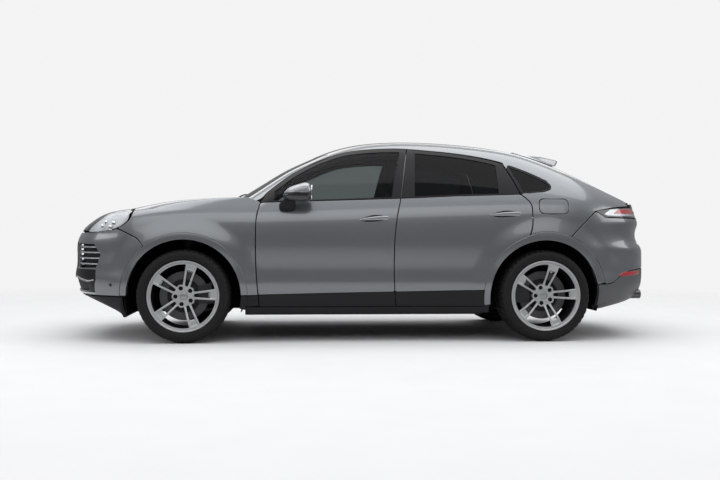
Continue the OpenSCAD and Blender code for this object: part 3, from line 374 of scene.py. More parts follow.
# Closed outlines in two dimensions
def area(loop):
    p = np.asarray(loop)
    q = np.roll(p, -1, 0)
    return (p[:, 0] * q[:, 1] - q[:, 0] * p[:, 1]).sum() / 2


def turned(loop, left=True):
    p = np.asarray(loop, float)
    return p if (area(p) > 0) == left else p[::-1]


def cleaned(loop, tiny=0.4):
    p = np.asarray(loop, float)
    keep = np.linalg.norm(p - np.roll(p, 1, 0), axis=1) > tiny
    return p[keep]


def fillet(loop, r, angle=22, steps=5):
    """Rounds the corners of a closed outline."""
    p = cleaned(loop)
    out = []
    n = len(p)
    for i in range(n):
        a, b, c = p[i - 1], p[i], p[(i + 1) % n]
        u, v = b - a, c - b
        lu, lv = np.linalg.norm(u), np.linalg.norm(v)
        turn = abs(math.degrees(math.atan2(u[0] * v[1] - u[1] * v[0], u @ v)))
        if turn < angle:
            out.append(b)
            continue
        d = min(r * math.tan(math.radians(min(turn, 120) / 2)), 0.45 * lu, 0.45 * lv)
        s, e = b - u / lu * d, b + v / lv * d
        for t in np.linspace(0, 1, steps + 1):
            out.append((1 - t) ** 2 * s + 2 * t * (1 - t) * b + t * t * e)
    return np.array(out)


def dense(loop, step):
    p = cleaned(loop)
    out = []
    for a, b in zip(p, np.roll(p, -1, 0)):
        n = max(1, int(round(np.linalg.norm(b - a) / step)))
        out += [a + (b - a) * k / n for k in range(n)]
    return np.array(out)


def outward(loop):
    """Unit vectors pointing out of a closed, left-turning outline."""
    p = np.asarray(loop)
    t = np.roll(p, -1, 0) - np.roll(p, 1, 0)
    n = np.stack([t[:, 1], -t[:, 0]], 1)
    return n / np.maximum(np.linalg.norm(n, axis=1, keepdims=True), 1e-9)


def shrink(loop, d):
    """The outline moved inwards by d, with mitred corners."""
    p = turned(cleaned(loop))
    a, b = p - np.roll(p, 1, 0), np.roll(p, -1, 0) - p
    a /= np.linalg.norm(a, axis=1, keepdims=True)
    b /= np.linalg.norm(b, axis=1, keepdims=True)
    na, nb = np.stack([a[:, 1], -a[:, 0]], 1), np.stack([b[:, 1], -b[:, 0]], 1)
    m = na + nb
    k = np.maximum((m * m).sum(1, keepdims=True) / 2, 0.35)
    return p - d * m / k


def inside(points, loops):
    """Even-odd test of many points against closed outlines."""
    q = np.zeros(len(points), bool)
    x, y = points[:, 0], points[:, 1]
    for loop in loops:
        a = np.asarray(loop)
        for (x0, y0), (x1, y1) in zip(a, np.roll(a, -1, 0)):
            if y0 == y1:
                continue
            q ^= ((y0 > y) != (y1 > y)) & (x < (x1 - x0) * (y - y0) / (y1 - y0) + x0)
    return q


def far_from(points, loops, d):
    keep = np.ones(len(points), bool)
    for loop in loops:
        a = dense(loop, d)
        for k in range(0, len(points), 4000):
            c = points[k:k + 4000]
            keep[k:k + 4000] &= (((c[:, None] - a[None]) ** 2).sum(2) > d * d).all(1)
    return keep


# Trimmed panels: a flat outline laid on a surface, with rolled edges and a folded flange
def slopes(surface, uv, step=2.0):
    e, f = np.array([step, 0.0]), np.array([0.0, step])
    n = np.cross(surface(uv + e) - surface(uv - e), surface(uv + f) - surface(uv - f))
    return n / np.maximum(np.linalg.norm(n, axis=1, keepdims=True), 1e-9)


def facing(surface, flat):
    """1 or -1, so that the surface's normals point away from the middle of the car."""
    p = surface(flat)
    middle = np.stack([np.clip(p[:, 0], -1700, 1500), p[:, 0] * 0, p[:, 0] * 0 + 650], 1)
    return 1.0 if ((p - middle) * slopes(surface, flat)).sum() > 0 else -1.0


def panel(surface, loops, spacing=16, roll=3.0, flange=16.0, inner=False, lift=0.0, front=None):
    """surface maps flat points to space; the first loop is the outer edge, the others are openings."""
    loops = [turned(l, left=(k == 0)) for k, l in enumerate(loops)]
    loops = [dense(l, spacing * 0.6) for l in loops]
    lo, hi = loops[0].min(0), loops[0].max(0)
    xs = np.arange(lo[0], hi[0], spacing)
    ys = np.arange(lo[1], hi[1], spacing * 0.87)
    grid = np.array([[x + (j % 2) * spacing / 2, y] for j, y in enumerate(ys) for x in xs]).reshape(-1, 2)
    grid = grid[inside(grid, loops)]
    if len(grid):
        grid = grid[far_from(grid, loops, spacing * 0.55)]
    points = np.concatenate(loops + [grid])
    edges, k = [], 0
    for l in loops:
        edges += [(k + i, k + (i + 1) % len(l)) for i in range(len(l))]
        k += len(l)
    flat, _, tris, _, _, _ = delaunay_2d_cdt([Vector(p) for p in points], edges, [], 0, 1e-4)
    flat = np.array([tuple(v) for v in flat])
    tris = np.array([t for t in tris if len(t) == 3])
    tris = tris[inside(flat[tris].mean(1), loops)]
    sense = facing(surface, flat) if front is None else front
    sense = -sense if inner else sense
    normals = slopes(surface, flat) * sense
    verts = surface(flat) + normals * lift
    a, b, c = (flat[tris[:, i]] for i in range(3))
    ccw = ((b - a)[:, 0] * (c - a)[:, 1] - (b - a)[:, 1] * (c - a)[:, 0]) > 0
    faces = [tuple(t) if w == (sense > 0) else tuple(t[::-1]) for t, w in zip(tris, ccw)]
    hems = [rolled_edge(surface, l, roll, flange, sense, lift) for l in loops]
    return joined((verts, faces, normals), *hems)


def rolled_edge(surface, loop, roll, flange, sense, lift):
    out = outward(loop)
    n = slopes(surface, loop) * sense
    p = surface(loop) + n * lift
    b = surface(loop + out * 0.5) - surface(loop)
    b -= n * (b * n).sum(1, keepdims=True)
    b /= np.maximum(np.linalg.norm(b, axis=1, keepdims=True), 1e-9)
    rows, dirs = [], []
    for t in (0, 30, 60, 90):
        s, c = math.sin(math.radians(t)), math.cos(math.radians(t))
        rows.append(p + b * roll * s - n * roll * (1 - c))
        dirs.append(n * c + b * s)
    rows.append(rows[-1] - n * flange)
    dirs.append(b)
    m = len(loop)
    faces = []
    for j in range(len(rows) - 1):
        for i in range(m):
            k = (i + 1) % m
            q = (j * m + i, j * m + k, (j + 1) * m + k, (j + 1) * m + i)
            faces.append(q[::-1] if sense > 0 else q)
    return np.concatenate(rows), faces, np.concatenate(dirs)


def sheet_grid(rows, closed=False):
    """A skin through rows of points."""
    g = np.asarray(rows, float)
    m, n = g.shape[:2]
    faces = []
    for j in range(m - 1):
        for i in range(n if closed else n - 1):
            k = (i + 1) % n
            faces.append((j * n + i, j * n + k, (j + 1) * n + k, (j + 1) * n + i))
    v = g.reshape(-1, 3)
    return v, faces, face_normals(v, faces)


def lathe(profile, steps, centre):
    """Profile points are (radius, y); turned about the wheel's Y axis through centre."""
    p = np.asarray(profile, float)
    a = np.radians(np.arange(steps) * 360.0 / steps)
    rows = [np.stack([centre[0] + r * np.sin(a), np.full(steps, centre[1] + y), centre[2] + r * np.cos(a)],
                     1) for r, y in p]
    return sheet_grid(rows, closed=True)


def sharp(obj, width=1.0, segments=2, angle=30):
    """Rounded edges on a plain solid, and clean shading."""
    tidy_mesh(obj.data)
    return rounded(obj, width, segments, angle)


def rounded(obj, width, segments, angle):
    mod = obj.modifiers.new("edges", "BEVEL")
    mod.width = width * MM
    mod.segments = segments
    mod.limit_method = "ANGLE"
    mod.angle_limit = math.radians(angle)
    mod.harden_normals = True
    return obj


# Materials
def add_node(tree, kind, **values):
    """A shader node whose named inputs are set; an underscore stands for a space."""
    node = tree.nodes.new("ShaderNode" + kind)
    for key, value in values.items():
        node.inputs[key.replace("_", " ")].default_value = value
    return node


def material(name, base, rough, metal=0.0, grain=60.0, vary=0.12, bump=0.0, bump_scale=400.0, **more):
    """A principled surface whose colour and roughness vary with a fine grain."""
    mat = bpy.data.materials.new(name)
    mat.use_nodes = True
    t = mat.node_tree
    shader = t.nodes["Principled BSDF"]
    coord = add_node(t, "TexCoord")
    noise = add_node(t, "TexNoise", Scale=grain, Detail=4)
    t.links.new(coord.outputs["Object"], noise.inputs["Vector"])
    ramp = add_node(t, "ValToRGB")
    dark, pale = ramp.color_ramp.elements
    dark.position = 0.3
    pale.position = 0.7
    dark.color = [max(0, c * (1 - vary)) for c in base] + [1]
    pale.color = [min(1, c * (1 + vary)) for c in base] + [1]
    t.links.new(noise.outputs["Fac"], ramp.inputs["Fac"])
    t.links.new(ramp.outputs["Color"], shader.inputs["Base Color"])
    spread = add_node(t, "MapRange", To_Min=max(0.0, rough - 0.05), To_Max=min(1.0, rough + 0.05))
    t.links.new(noise.outputs["Fac"], spread.inputs["Value"])
    t.links.new(spread.outputs["Result"], shader.inputs["Roughness"])
    shader.inputs["Metallic"].default_value = metal
    for key, value in more.items():
        shader.inputs[key.replace("_", " ")].default_value = value
    if bump:
        fine = add_node(t, "TexNoise", Scale=bump_scale)
        t.links.new(coord.outputs["Object"], fine.inputs["Vector"])
        node = add_node(t, "Bump", Strength=bump, Distance=0.0005)
        t.links.new(fine.outputs["Fac"], node.inputs["Height"])
        t.links.new(node.outputs["Normal"], shader.inputs["Normal"])
    return mat


PAINT = material("paint", (0.155, 0.163, 0.172), 0.30, metal=0.75, grain=900, vary=0.10, Coat_Weight=1.0,
                 Coat_Roughness=0.03)
BLACK = material("black plastic", (0.011, 0.011, 0.012), 0.6, grain=300, bump=0.1, bump_scale=900,
                 Specular_IOR_Level=0.22)
SATIN = material("satin black", (0.005, 0.005, 0.006), 0.34, grain=200, Specular_IOR_Level=0.2)
# near-zero black: the wheel liners' own black, and painted shade on the sheets behind seams
LINER_AND_SHADE_BLACK = material("liner black and painted shade", (0.004, 0.004, 0.004), 0.8, grain=120, Specular_IOR_Level=0.1)
GLOSS = material("gloss black", (0.008, 0.008, 0.009), 0.10, grain=40, Coat_Weight=0.6, Coat_Roughness=0.03)
GREY = material("dark grey plastic", (0.060, 0.061, 0.064), 0.45, grain=300, bump=0.2, bump_scale=900)
RUBBER = material("tyre rubber", (0.008, 0.008, 0.008), 0.7, grain=160, vary=0.2, bump=0.3, bump_scale=700,
                  Specular_IOR_Level=0.2)
RIM = material("rim silver", (0.36, 0.365, 0.37), 0.42, metal=0.6, grain=700, vary=0.06)
# painted shade: near-black metal on the rim barrel, hub and bolts stands in for the shade inside the wheel
WHEEL_SHADE_METAL = material("metal darkened for wheel shade", (0.007, 0.007, 0.008), 0.55, grain=120, Specular_IOR_Level=0.2)
DARK_CHROME = material("dark chrome", (0.10, 0.10, 0.105), 0.25, metal=1.0, grain=60)
# painted shade: brake steel drawn dark so the disc behind the spokes reads as shade; the headrest posts use
# it too
SHADED_STEEL = material("brake steel darkened for shade", (0.07, 0.07, 0.072), 0.5, metal=0.6, grain=260, vary=0.25)
# bright metal: real on the lamp units and mirror glass, and a painted highlight on the door-handle strips
CHROME_AND_HIGHLIGHT = material("bright metal and painted highlight", (0.62, 0.63, 0.64), 0.12, metal=1.0, grain=80, vary=0.04)
IRON = material("cast iron", (0.03, 0.03, 0.031), 0.6, metal=0.5, grain=90, vary=0.3, bump=0.3,
                bump_scale=300)
LEATHER = material("black leather", (0.022, 0.021, 0.021), 0.5, grain=500, vary=0.2, bump=0.2,
                   bump_scale=300)
TRIM = material("cabin trim", (0.022, 0.021, 0.021), 0.7, grain=400, vary=0.2)
RED = material("red lens", (0.33, 0.010, 0.014), 0.12, grain=50, vary=0.15, Coat_Weight=1.0)
# bright grey: the tail lamps' clear part, and painted highlights on the front lips and intake slats
LAMP_AND_HIGHLIGHT_GREY = material("lamp reflector and painted highlight", (0.45, 0.46, 0.48), 0.25, metal=0.6, grain=60, vary=0.2)
LAMP_BOWL = material("lamp bowl", (0.80, 0.82, 0.84), 0.35, grain=25, vary=0.12)
MIRROR_CAP = material("mirror cap", (0.27, 0.28, 0.29), 0.3, metal=0.7, grain=800, vary=0.08,
                      Coat_Weight=0.8)


def glass_material(name, tint, clear, least=0.10):
    """Thin tinted glass: lets part of the light straight through and mirrors the rest."""
    mat = material(name, tint, 0.03, grain=8, vary=0.15, Coat_Weight=0.5)
    t = mat.node_tree
    shader = t.nodes["Principled BSDF"]
    through = add_node(t, "BsdfTransparent", Color=clear + (1,))
    fresnel = add_node(t, "Fresnel", IOR=1.5)
    mix = add_node(t, "MixShader")
    level = add_node(t, "MapRange", To_Min=least, To_Max=1.0)
    t.links.new(fresnel.outputs["Fac"], level.inputs["Value"])
    t.links.new(level.outputs["Result"], mix.inputs["Fac"])
    t.links.new(through.outputs["BSDF"], mix.inputs[1])
    t.links.new(shader.outputs["BSDF"], mix.inputs[2])
    t.links.new(mix.outputs["Shader"], t.nodes["Material Output"].inputs["Surface"])
    return mat


GLASS = glass_material("tinted glass", (0.012, 0.014, 0.014), (0.33, 0.36, 0.36))
PRIVACY = glass_material("dark glass", (0.006, 0.007, 0.008), (0.05, 0.055, 0.06))
LENS = glass_material("clear lens", (0.74, 0.76, 0.78), (0.95, 0.95, 0.96), 0.45)


# Surfaces: flat coordinates to points of the body
def side(uv):
    return np.stack([uv[:, 0], body_y(uv[:, 0], uv[:, 1]), uv[:, 1]], 1)


def side_at(depth):
    return lambda uv: side(uv) - np.array([0, depth, 0.0])


def hood_edge(x):
    return look(HOOD_EDGE, x)


WING_X = np.arange(840.0, 2120, 4)
WING_TOP = hood_z(WING_X, hood_edge(WING_X) + GAP / 2)
WING_LOW = 230.0


def wing_point(x, t):
    top = np.interp(x, WING_X, WING_TOP)
    z = top - (1 - t) ** 2 * (top - WING_LOW)
    return np.stack([x, np.where(t >= 1, hood_edge(x) + GAP / 2, side_y(x, z)), z], -1)


WING_T = np.linspace(0, 1, 600)
WING_S = wing_point(np.full(600, 1500.0), WING_T)
WING_S = travel(WING_S)


def wing(uv):
    return wing_point(uv[:, 0], np.interp(uv[:, 1], WING_S, WING_T))


def wing_flat(points):
    """Side-view points laid into the wing's flat coordinates."""
    p = np.asarray(points, float)
    top = np.interp(p[:, 0], WING_X, WING_TOP)
    t = 1 - np.sqrt(np.clip((top - p[:, 1]) / (top - WING_LOW), 0, 1))
    return np.stack([p[:, 0], np.interp(t, WING_T, WING_S)], 1)


NOSE_A = np.concatenate([np.linspace(0, 2, 300), np.linspace(2, 90, 1500)[1:]])
NOSE_S = nose_point(NOSE_A, 690.0)
NOSE_S[0, 1] = 0
NOSE_S = travel(NOSE_S)
TAIL_A = NOSE_A
TAIL_S = tail_point(TAIL_A, 700.0)
TAIL_S[0, 1] = 0
TAIL_S = travel(TAIL_S)


def nose(uv):
    a = np.interp(np.abs(uv[:, 0]), NOSE_S, NOSE_A) * np.where(uv[:, 0] < 0, -1, 1)
    return nose_point(a, uv[:, 1])


def tail(uv):
    a = np.interp(np.abs(uv[:, 0]), TAIL_S, TAIL_A) * np.where(uv[:, 0] < 0, -1, 1)
    return tail_point(a, uv[:, 1])


def nose_flat_a(a, z):
    return np.stack(np.broadcast_arrays(np.sign(a) * np.interp(np.abs(a), NOSE_A, NOSE_S), z), -1)


def nose_flat_y(y, z):
    y, z = np.broadcast_arrays(np.asarray(y, float), np.asarray(z, float))
    return nose_flat_a(np.sign(y) * nose_angle(np.abs(y), z), z)


def nose_flat_x(x, z):
    x, z = np.broadcast_arrays(np.asarray(x, float), np.asarray(z, float))
    s, e, n = nose_start(z), look(NOSE, z), nose_power(z)
    return nose_flat_a(np.degrees(np.arccos(np.clip((x - s) / (e - s), 0, 1) ** (n / 2))), z)


def tail_flat_a(a, z):
    return np.stack(np.broadcast_arrays(np.sign(a) * np.interp(np.abs(a), TAIL_A, TAIL_S), z), -1)


def tail_flat_y(y, z):
    y, z = np.broadcast_arrays(np.asarray(y, float), np.asarray(z, float))
    return tail_flat_a(np.sign(y) * tail_angle(np.abs(y), z), z)


def tail_flat_x(x, z):
    x, z = np.broadcast_arrays(np.asarray(x, float), np.asarray(z, float))
    e = look(TAIL, z)
    c = np.clip((x - TAIL_START) / (e - TAIL_START), 0, 1)
    return tail_flat_a(np.degrees(np.arccos(c ** (TAIL_POWER / 2))), z)


def top(uv):
    return np.stack([uv[:, 0], uv[:, 1], body_z(uv[:, 0], uv[:, 1])], 1)


def glass_top(uv):
    return np.stack([uv[:, 0], uv[:, 1], top_z(uv[:, 0], uv[:, 1])], 1)


def hood_top(uv):
    return np.stack([uv[:, 0], uv[:, 1], hood_z(uv[:, 0], uv[:, 1])], 1)


def lowered(surface, depth):
    return lambda uv: surface(uv) - np.array([0, 0, depth])


def tail_in(depth):
    return lambda uv: tail(uv) + np.array([depth, 0, 0])


def laid(flat, points):
    """An outline's points in a surface's flat coordinates."""
    p = np.asarray(points, float)
    return flat(p[:, 0], p[:, 1])


def both_halves(half):
    """A closed outline from its half on the left, which starts and ends in the middle."""
    return np.concatenate([half, (half * [-1, 1])[::-1][1:-1]])


# Roof rail and quarter: v below 0 is height under the rail line, above 0 an angle over the soft edge
RAIL_PATH = np.array([[1040, 1122], [905, 1128]] + WINDOW_TOP[1:] + [[-1600, 1226], [-1760, 1166],
                                                                     [-1920, 1126], [-2080, 1115],
                                                                     [-2300, 1112]], float)[::-1]
RAIL_IN = np.array([[1030, 738], [950, 732], [848, 706], [741, 674], [638, 642], [534, 612], [431, 584],
                    [326, 564], [222, 554], [117, 550], [11, 548], [-94, 548], [-253, 548], [-400, 548],
                    [-600, 548], [-800, 549], [-1000, 550], [-1256, 554], [-1460, 562], [-1650, 572],
                    [-1820, 582], [-2000, 593], [-2234, 603]], float)[::-1]
RAIL_LINE = natural_spline(RAIL_PATH)
RAIL_TOP = natural_spline(RAIL_IN)
RAIL_W = 150.0


def rail(uv):
    x, v = uv[:, 0], uv[:, 1]
    zr, yi = look(RAIL_LINE, x), look(RAIL_TOP, x)
    low_z = zr + np.minimum(v, 0)
    low = np.stack([x, body_y(x, low_z), low_z], 1)
    cy, cz = 150.0, zr - 260
    a = np.arctan2(zr - cz, body_y(x, zr) - cy)
    b = np.arctan2(body_z(x, yi) - cz, yi - cy)
    w = a + (b - a) * np.maximum(v, 0) / RAIL_W
    dy, dz = np.cos(w), np.sin(w)
    m = bisect(lambda t: soft_max(cy + dy * t - cabin_y(x, cz + dz * t),
                                  cz + dz * t - top_z(x, cy + dy * t)) > 0, np.zeros_like(x),
               np.full_like(x, 1500.0))
    high = np.stack([x, cy + dy * m, cz + dz * m], 1)
    return np.where((v > 0)[:, None], high, low)


def rail_flat(points):
    p = np.asarray(points, float)
    return np.stack([p[:, 0], p[:, 1] - look(RAIL_LINE, p[:, 0])], 1)


def ring(cx, r, a, b, n):
    t = np.radians(np.linspace(a, b, n + 1))
    return np.stack([cx + r * np.cos(t), HUB_Z + r * np.sin(t)], 1)


# Outlines in side view
ARCH = 449.0
SEAM = 500.0


def cladding(x):
    return np.interp(x, [-927, -392, 334, 1027], [413, 403, 390, 374])


def offset_line(points, d):
    """An open line moved to the left of its direction by d."""
    p = np.asarray(points, float)
    t = np.gradient(p, axis=0)
    n = np.stack([-t[:, 1], t[:, 0]], 1)
    return p + d * n / np.linalg.norm(n, axis=1, keepdims=True)


HEAD = path(WINDOW_TOP, 400)
REAR_EDGE = np.concatenate([ring(REAR_X, SEAM, -9.8, 74, 60),
                            path([[-1277.2, 850.6], [-1303, 941], [-1306, 1040], [-1298, 1110],
                                  [-1268, 1150], [-1225, 1186]], 50)[1:],
                            polyline([[-1225, 1186], [-1168, 1320], [-1105, 1450]], 24)[1:]])


# Doors
def door_lower(front, rear):
    """Painted part between the cladding and the belt."""
    f = np.array([p for p in front if cladding(p[0]) + 3 < p[1] < belt(p[0]) - 2])
    r = np.array([p for p in rear if cladding(p[0]) + 3 < p[1] < belt(p[0]) - 2])
    xs = np.linspace(f[-1, 0], r[-1, 0], 80)[1:-1]
    top_edge = np.stack([xs, belt(xs) - 2], 1)
    xs = np.linspace(r[0, 0], f[0, 0], 80)[1:-1]
    low_edge = np.stack([xs, cladding(xs) + 3], 1)
    return np.concatenate([f, top_edge, r[::-1], low_edge])


def door_sill(front, rear):
    f = np.array([p for p in front if p[1] <= cladding(p[0])])
    r = np.array([p for p in rear if p[1] <= cladding(p[0])])
    xs = np.linspace(f[-1, 0], r[-1, 0], 80)[1:-1]
    top_edge = np.stack([xs, cladding(xs)], 1)
    xs = np.linspace(r[0, 0], f[0, 0], 80)[1:-1]
    low_edge = np.stack([xs, np.full(78, f[0, 1])], 1)
    return np.concatenate([f, top_edge, r[::-1], low_edge])


REAR_FRONT = MIDDLE - np.array([GAP, 0])
FRONT_HEAD = HEAD[HEAD[:, 0] > -318]
REAR_HEAD = HEAD[(HEAD[:, 0] < -326) & (HEAD[:, 0] > -1105)]


def window_outline(belt_x, rear_edge, head, rear_x, front_x):
    """A door's window: back along the belt, up its rear edge and forward under the roof."""
    under = offset_line(head, 32)[::-1]
    under = under[(under[:, 0] > rear_x) & (under[:, 0] < front_x)]
    return np.concatenate([np.stack([belt_x, belt(belt_x) + 13], 1), rear_edge[1:], under])


FRONT_GLASS = window_outline(np.linspace(772, -173, 60), polyline([[-173, 1162], [-256, 1543]], 24),
                             FRONT_HEAD, -250, 768)
REAR_GLASS = window_outline(np.linspace(-358, -1046, 50), polyline([[-1046, 1197], [-1046, 1434]], 14),
                            REAR_HEAD, -1044, -380)


def grip_line(grip, n):
    """Middle line of a door handle from its front end to its rear end, and its share from 0 to 1."""
    t = np.linspace(0, 1, n)
    x0, z0, x1, z1 = grip
    return x0 + (x1 - x0) * t, z0 + (z1 - z0) * t + 5 * np.sin(np.pi * t), t


def grip_recess(grip):
    x, z, t = grip_line((grip[0] - 22, grip[1], grip[2] + 18, grip[3]), 40)
    bulge = np.sin(np.pi * np.clip(t, 0.004, 0.996)) ** 0.55
    return np.concatenate([np.stack([x, z + 26 * bulge], 1), np.stack([x, z - 27 * bulge], 1)[::-1]])


def handle(name, grip, bodies):
    """A pull handle that stands proud of a dished recess, pointed in front and round behind."""
    recess = grip_recess(grip)

    def bowl(uv):
        x, z, _ = grip_line(grip, 40)
        line = np.interp(uv[:, 0], x[::-1], z[::-1])
        ends = np.clip((uv[:, 0] - grip[2]) * (grip[0] - uv[:, 0]) / ((grip[0] - grip[2]) / 2) ** 2, 0, 1)
        deep = 38 * np.clip(1 - ((uv[:, 1] - line) / 31) ** 2, 0, 1) ** 0.7 * ends ** 0.5
        return side(uv) - np.stack([deep * 0, deep + 2, deep * 0], 1)
    pair(name + "_recess", panel(bowl, [shrink(recess, -3)], 7, 1, 2), PAINT, bodies)
    x, z, t = grip_line(grip, 48)
    round_end = np.sqrt(np.clip(1 - (np.clip(t - 0.93, 0, 1) / 0.07) ** 2, 0, 1))
    tall = 16 * (1 - (1 - t) ** 2.4) ** 0.62 * round_end + 0.3
    proud = 3 + 12 * np.sin(np.pi * np.clip(t, 0, 1)) ** 0.5
    a = np.linspace(0, 2 * np.pi, 24, False)
    rows = []
    for k in range(48):
        y = body_y(x[k], z[k]) + proud[k] - 7
        rows.append(np.stack([np.full(24, x[k]), y + 7 * np.cos(a), z[k] + tall[k] * np.sin(a)], 1))
    pair(name + "_grip", closed_skin(rows), MIRROR_CAP, bodies, crease=50)
    # painted highlight: a chrome strip along the grip stands in for the light on its rounded face
    highlight_rows = []
    for k in range(3, 46):
        y = body_y(x[k], z[k]) + proud[k] - 0.6
        w = tall[k] * 0.22 + 0.4
        highlight_rows.append(np.array([[x[k], y - 2, z[k] + 3 - w], [x[k], y + 1, z[k] + 3 - w],
                                    [x[k], y + 1, z[k] + 3 + w], [x[k], y - 2, z[k] + 3 + w]]))
    pair(name + "_highlight_strip", closed_skin(highlight_rows), CHROME_AND_HIGHLIGHT, bodies, crease=40)
    return recess


def door(name, front, rear, head, glass_loop, grip, glass_node, glass_mat):
    bodies = (name + "_left", name + "_right")
    low = fillet(door_lower(front, rear), 6)
    recess = handle(name, grip, bodies)
    skin = pair(name + "_skin", panel(side, [shrink(low, 3), shrink(recess, -2)], 15, 2.5, 12), PAINT,
                bodies)
    sill = fillet(door_sill(front, rear), 8)
    pair(name + "_cladding", panel(side, [shrink(sill, 3)], 18, 3, 14, lift=2.5), BLACK, bodies)
    # frame round the window, from the belt up
    f = np.array([p for p in front if p[1] >= belt(p[0]) - 2])
    r = np.array([p for p in rear if p[1] >= belt(p[0]) - 2])
    xs = np.linspace(r[0, 0], f[0, 0], 80)[1:-1] if len(f) else np.linspace(r[0, 0], head[0, 0], 80)[1:-1]
    base = np.stack([xs, belt(xs) + 1], 1)
    outer = np.concatenate([f.reshape(-1, 2), head, r[::-1], base])
    pane = fillet(glass_loop, 10)
    surround = panel(side, [shrink(fillet(outer, 6), 3), shrink(pane, -3)], 14, 3, 22, lift=-1.5)
    pair(name + "_frame", surround, SATIN, bodies)
    glass = pair(name + "_glass", panel(side_at(9), [shrink(pane, 0.5)], 22, 0.6, 4), glass_mat, bodies)
    # closed inner side
    edge = fillet(np.concatenate([front, head, rear[::-1]]), 6)
    whole = dense(turned(edge), 14)
    inner = dense(shrink(edge, 24), 14)

    def back(uv):
        t = door_depth(uv[:, 1])
        return side(uv) - np.stack([t * 0, t - 2, t * 0], 1)
    lining = panel(back, [inner, shrink(pane, -10)], 30, 4, 16, inner=True)
    pair(name + "_lining", lining, TRIM, bodies)
    wall_a = side_at(10)(shrink(whole, 2))
    wall_b = back(shrink(whole, 22))
    n = min(len(wall_a), len(wall_b))
    pair(name + "_wall", sheet_grid([wall_b[:n], wall_a[:n]], closed=True), PAINT, bodies)
    for k, s in enumerate(("left", "right")):
        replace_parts(skin[k], name + "_" + s)
        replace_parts(glass[k], glass_node + "_" + s)


FRONT_GRIP = (100, 976, -145, 992)
REAR_GRIP = (-960, 1018, -1217, 1030)
door("door_front", DOOR_FRONT, MIDDLE, FRONT_HEAD, FRONT_GLASS, FRONT_GRIP, "glass_front", GLASS)
door("door_rear", REAR_FRONT, REAR_EDGE, REAR_HEAD, REAR_GLASS, REAR_GRIP, "glass_rear", PRIVACY)


def strip(surface, line, width, spacing=10, roll=2.0, flange=6.0, lift=2.0):
    """A thin raised strip along a flat line."""
    a, b = offset_line(line, width / 2), offset_line(line, -width / 2)
    return panel(surface, [np.concatenate([a, b[::-1]])], spacing, roll, flange, lift=lift)


# Front wings with their arch trims
def band(cx, r0, r1, a, b, n=60):
    """Closed outline of a ring piece round a wheel; the radii are numbers or functions of the angle."""
    t = np.linspace(a, b, n + 1)
    r0 = np.array([r0(v) if callable(r0) else r0 for v in t])
    r1 = np.array([r1(v) if callable(r1) else r1 for v in t])
    d = np.stack([np.cos(np.radians(t)), np.sin(np.radians(t))], 1)
    c = np.array([cx, HUB_Z])
    return np.concatenate([c + d * r1[:, None], (c + d * r0[:, None])[::-1]])


def front_wing():
    rear = offset_line(DOOR_FRONT, -GAP)
    rear = np.array([p for p in rear if p[1] > cladding(p[0]) + 3])
    tip = wing_flat([[890, 1119], [905, 1124]])
    cut = hood_z(np.array([1048.0]), np.array([846.0]))[0]
    edge_x = np.linspace(1050, 1870, 70)
    crest = np.stack([edge_x, np.full(70, WING_S[-1] - 1)], 1)
    lamp = wing_flat(path([[1872, 1056], [1878, 1036], [1902, 975], [1946, 932], [1988, 907]], 30))
    low = wing_flat(polyline([[1990, 904], [1838, 829], [1789, 765]], 24))
    arch = wing_flat(ring(FRONT_X, SEAM, 52.5, 179.5, 90))
    foot = wing_flat([[978, 377], [898, 378]])
    loop = np.concatenate([wing_flat(rear), tip, wing_flat([[1050, cut]]), crest, lamp, low, arch, foot])
    skin = pair("wing_skin", panel(wing, [shrink(fillet(loop, 5), 3.5)], 15, 3, 14), PAINT, "body")
    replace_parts(skin[0], "fenders")
    clad = np.concatenate([polyline([[893, 290], [898, 372]], 8), polyline([[898, 372], [978, 371]], 8),
                           ring(FRONT_X, SEAM, 180, 189.5, 10)])
    pair("wing_cladding", panel(side, [shrink(fillet(clad, 5), 3)], 16, 3, 14, lift=2.5), BLACK, "body")
    pair("wing_arch", panel(side, [shrink(band(FRONT_X, ARCH, SEAM - 1, 0.5, 179, 120), 3)], 14, 4, 26,
                            lift=1.0), PAINT, "body")
    pair("wing_arch_foot", panel(side, [shrink(band(FRONT_X, ARCH, SEAM - 1, 180, 193, 14), 3)], 14, 4, 26,
                                 lift=1.5), BLACK, "body")


front_wing()


# Body side behind the doors, with the roof rail and pillars in one skin
def flap_loop(d):
    x0, x1, z0, z1 = -1366 + d, -1612 - d, 1030 - d, 1156 + d
    return fillet(np.array([[x0, z0], [x0, z1], [x1, z1], [x1, z0]], float), 46, steps=10)


QUARTER_GLASS = fillet(np.array([[-1246, 1212], [-1300, 1212], [-1408, 1222], [-1468, 1240], [-1476, 1262],
                                 [-1446, 1290], [-1376, 1328], [-1267, 1380], [-1146, 1428]], float), 14,
                       angle=12)


def rear_seam(t):
    return SEAM + 20 * float(ease(66, 92, t))


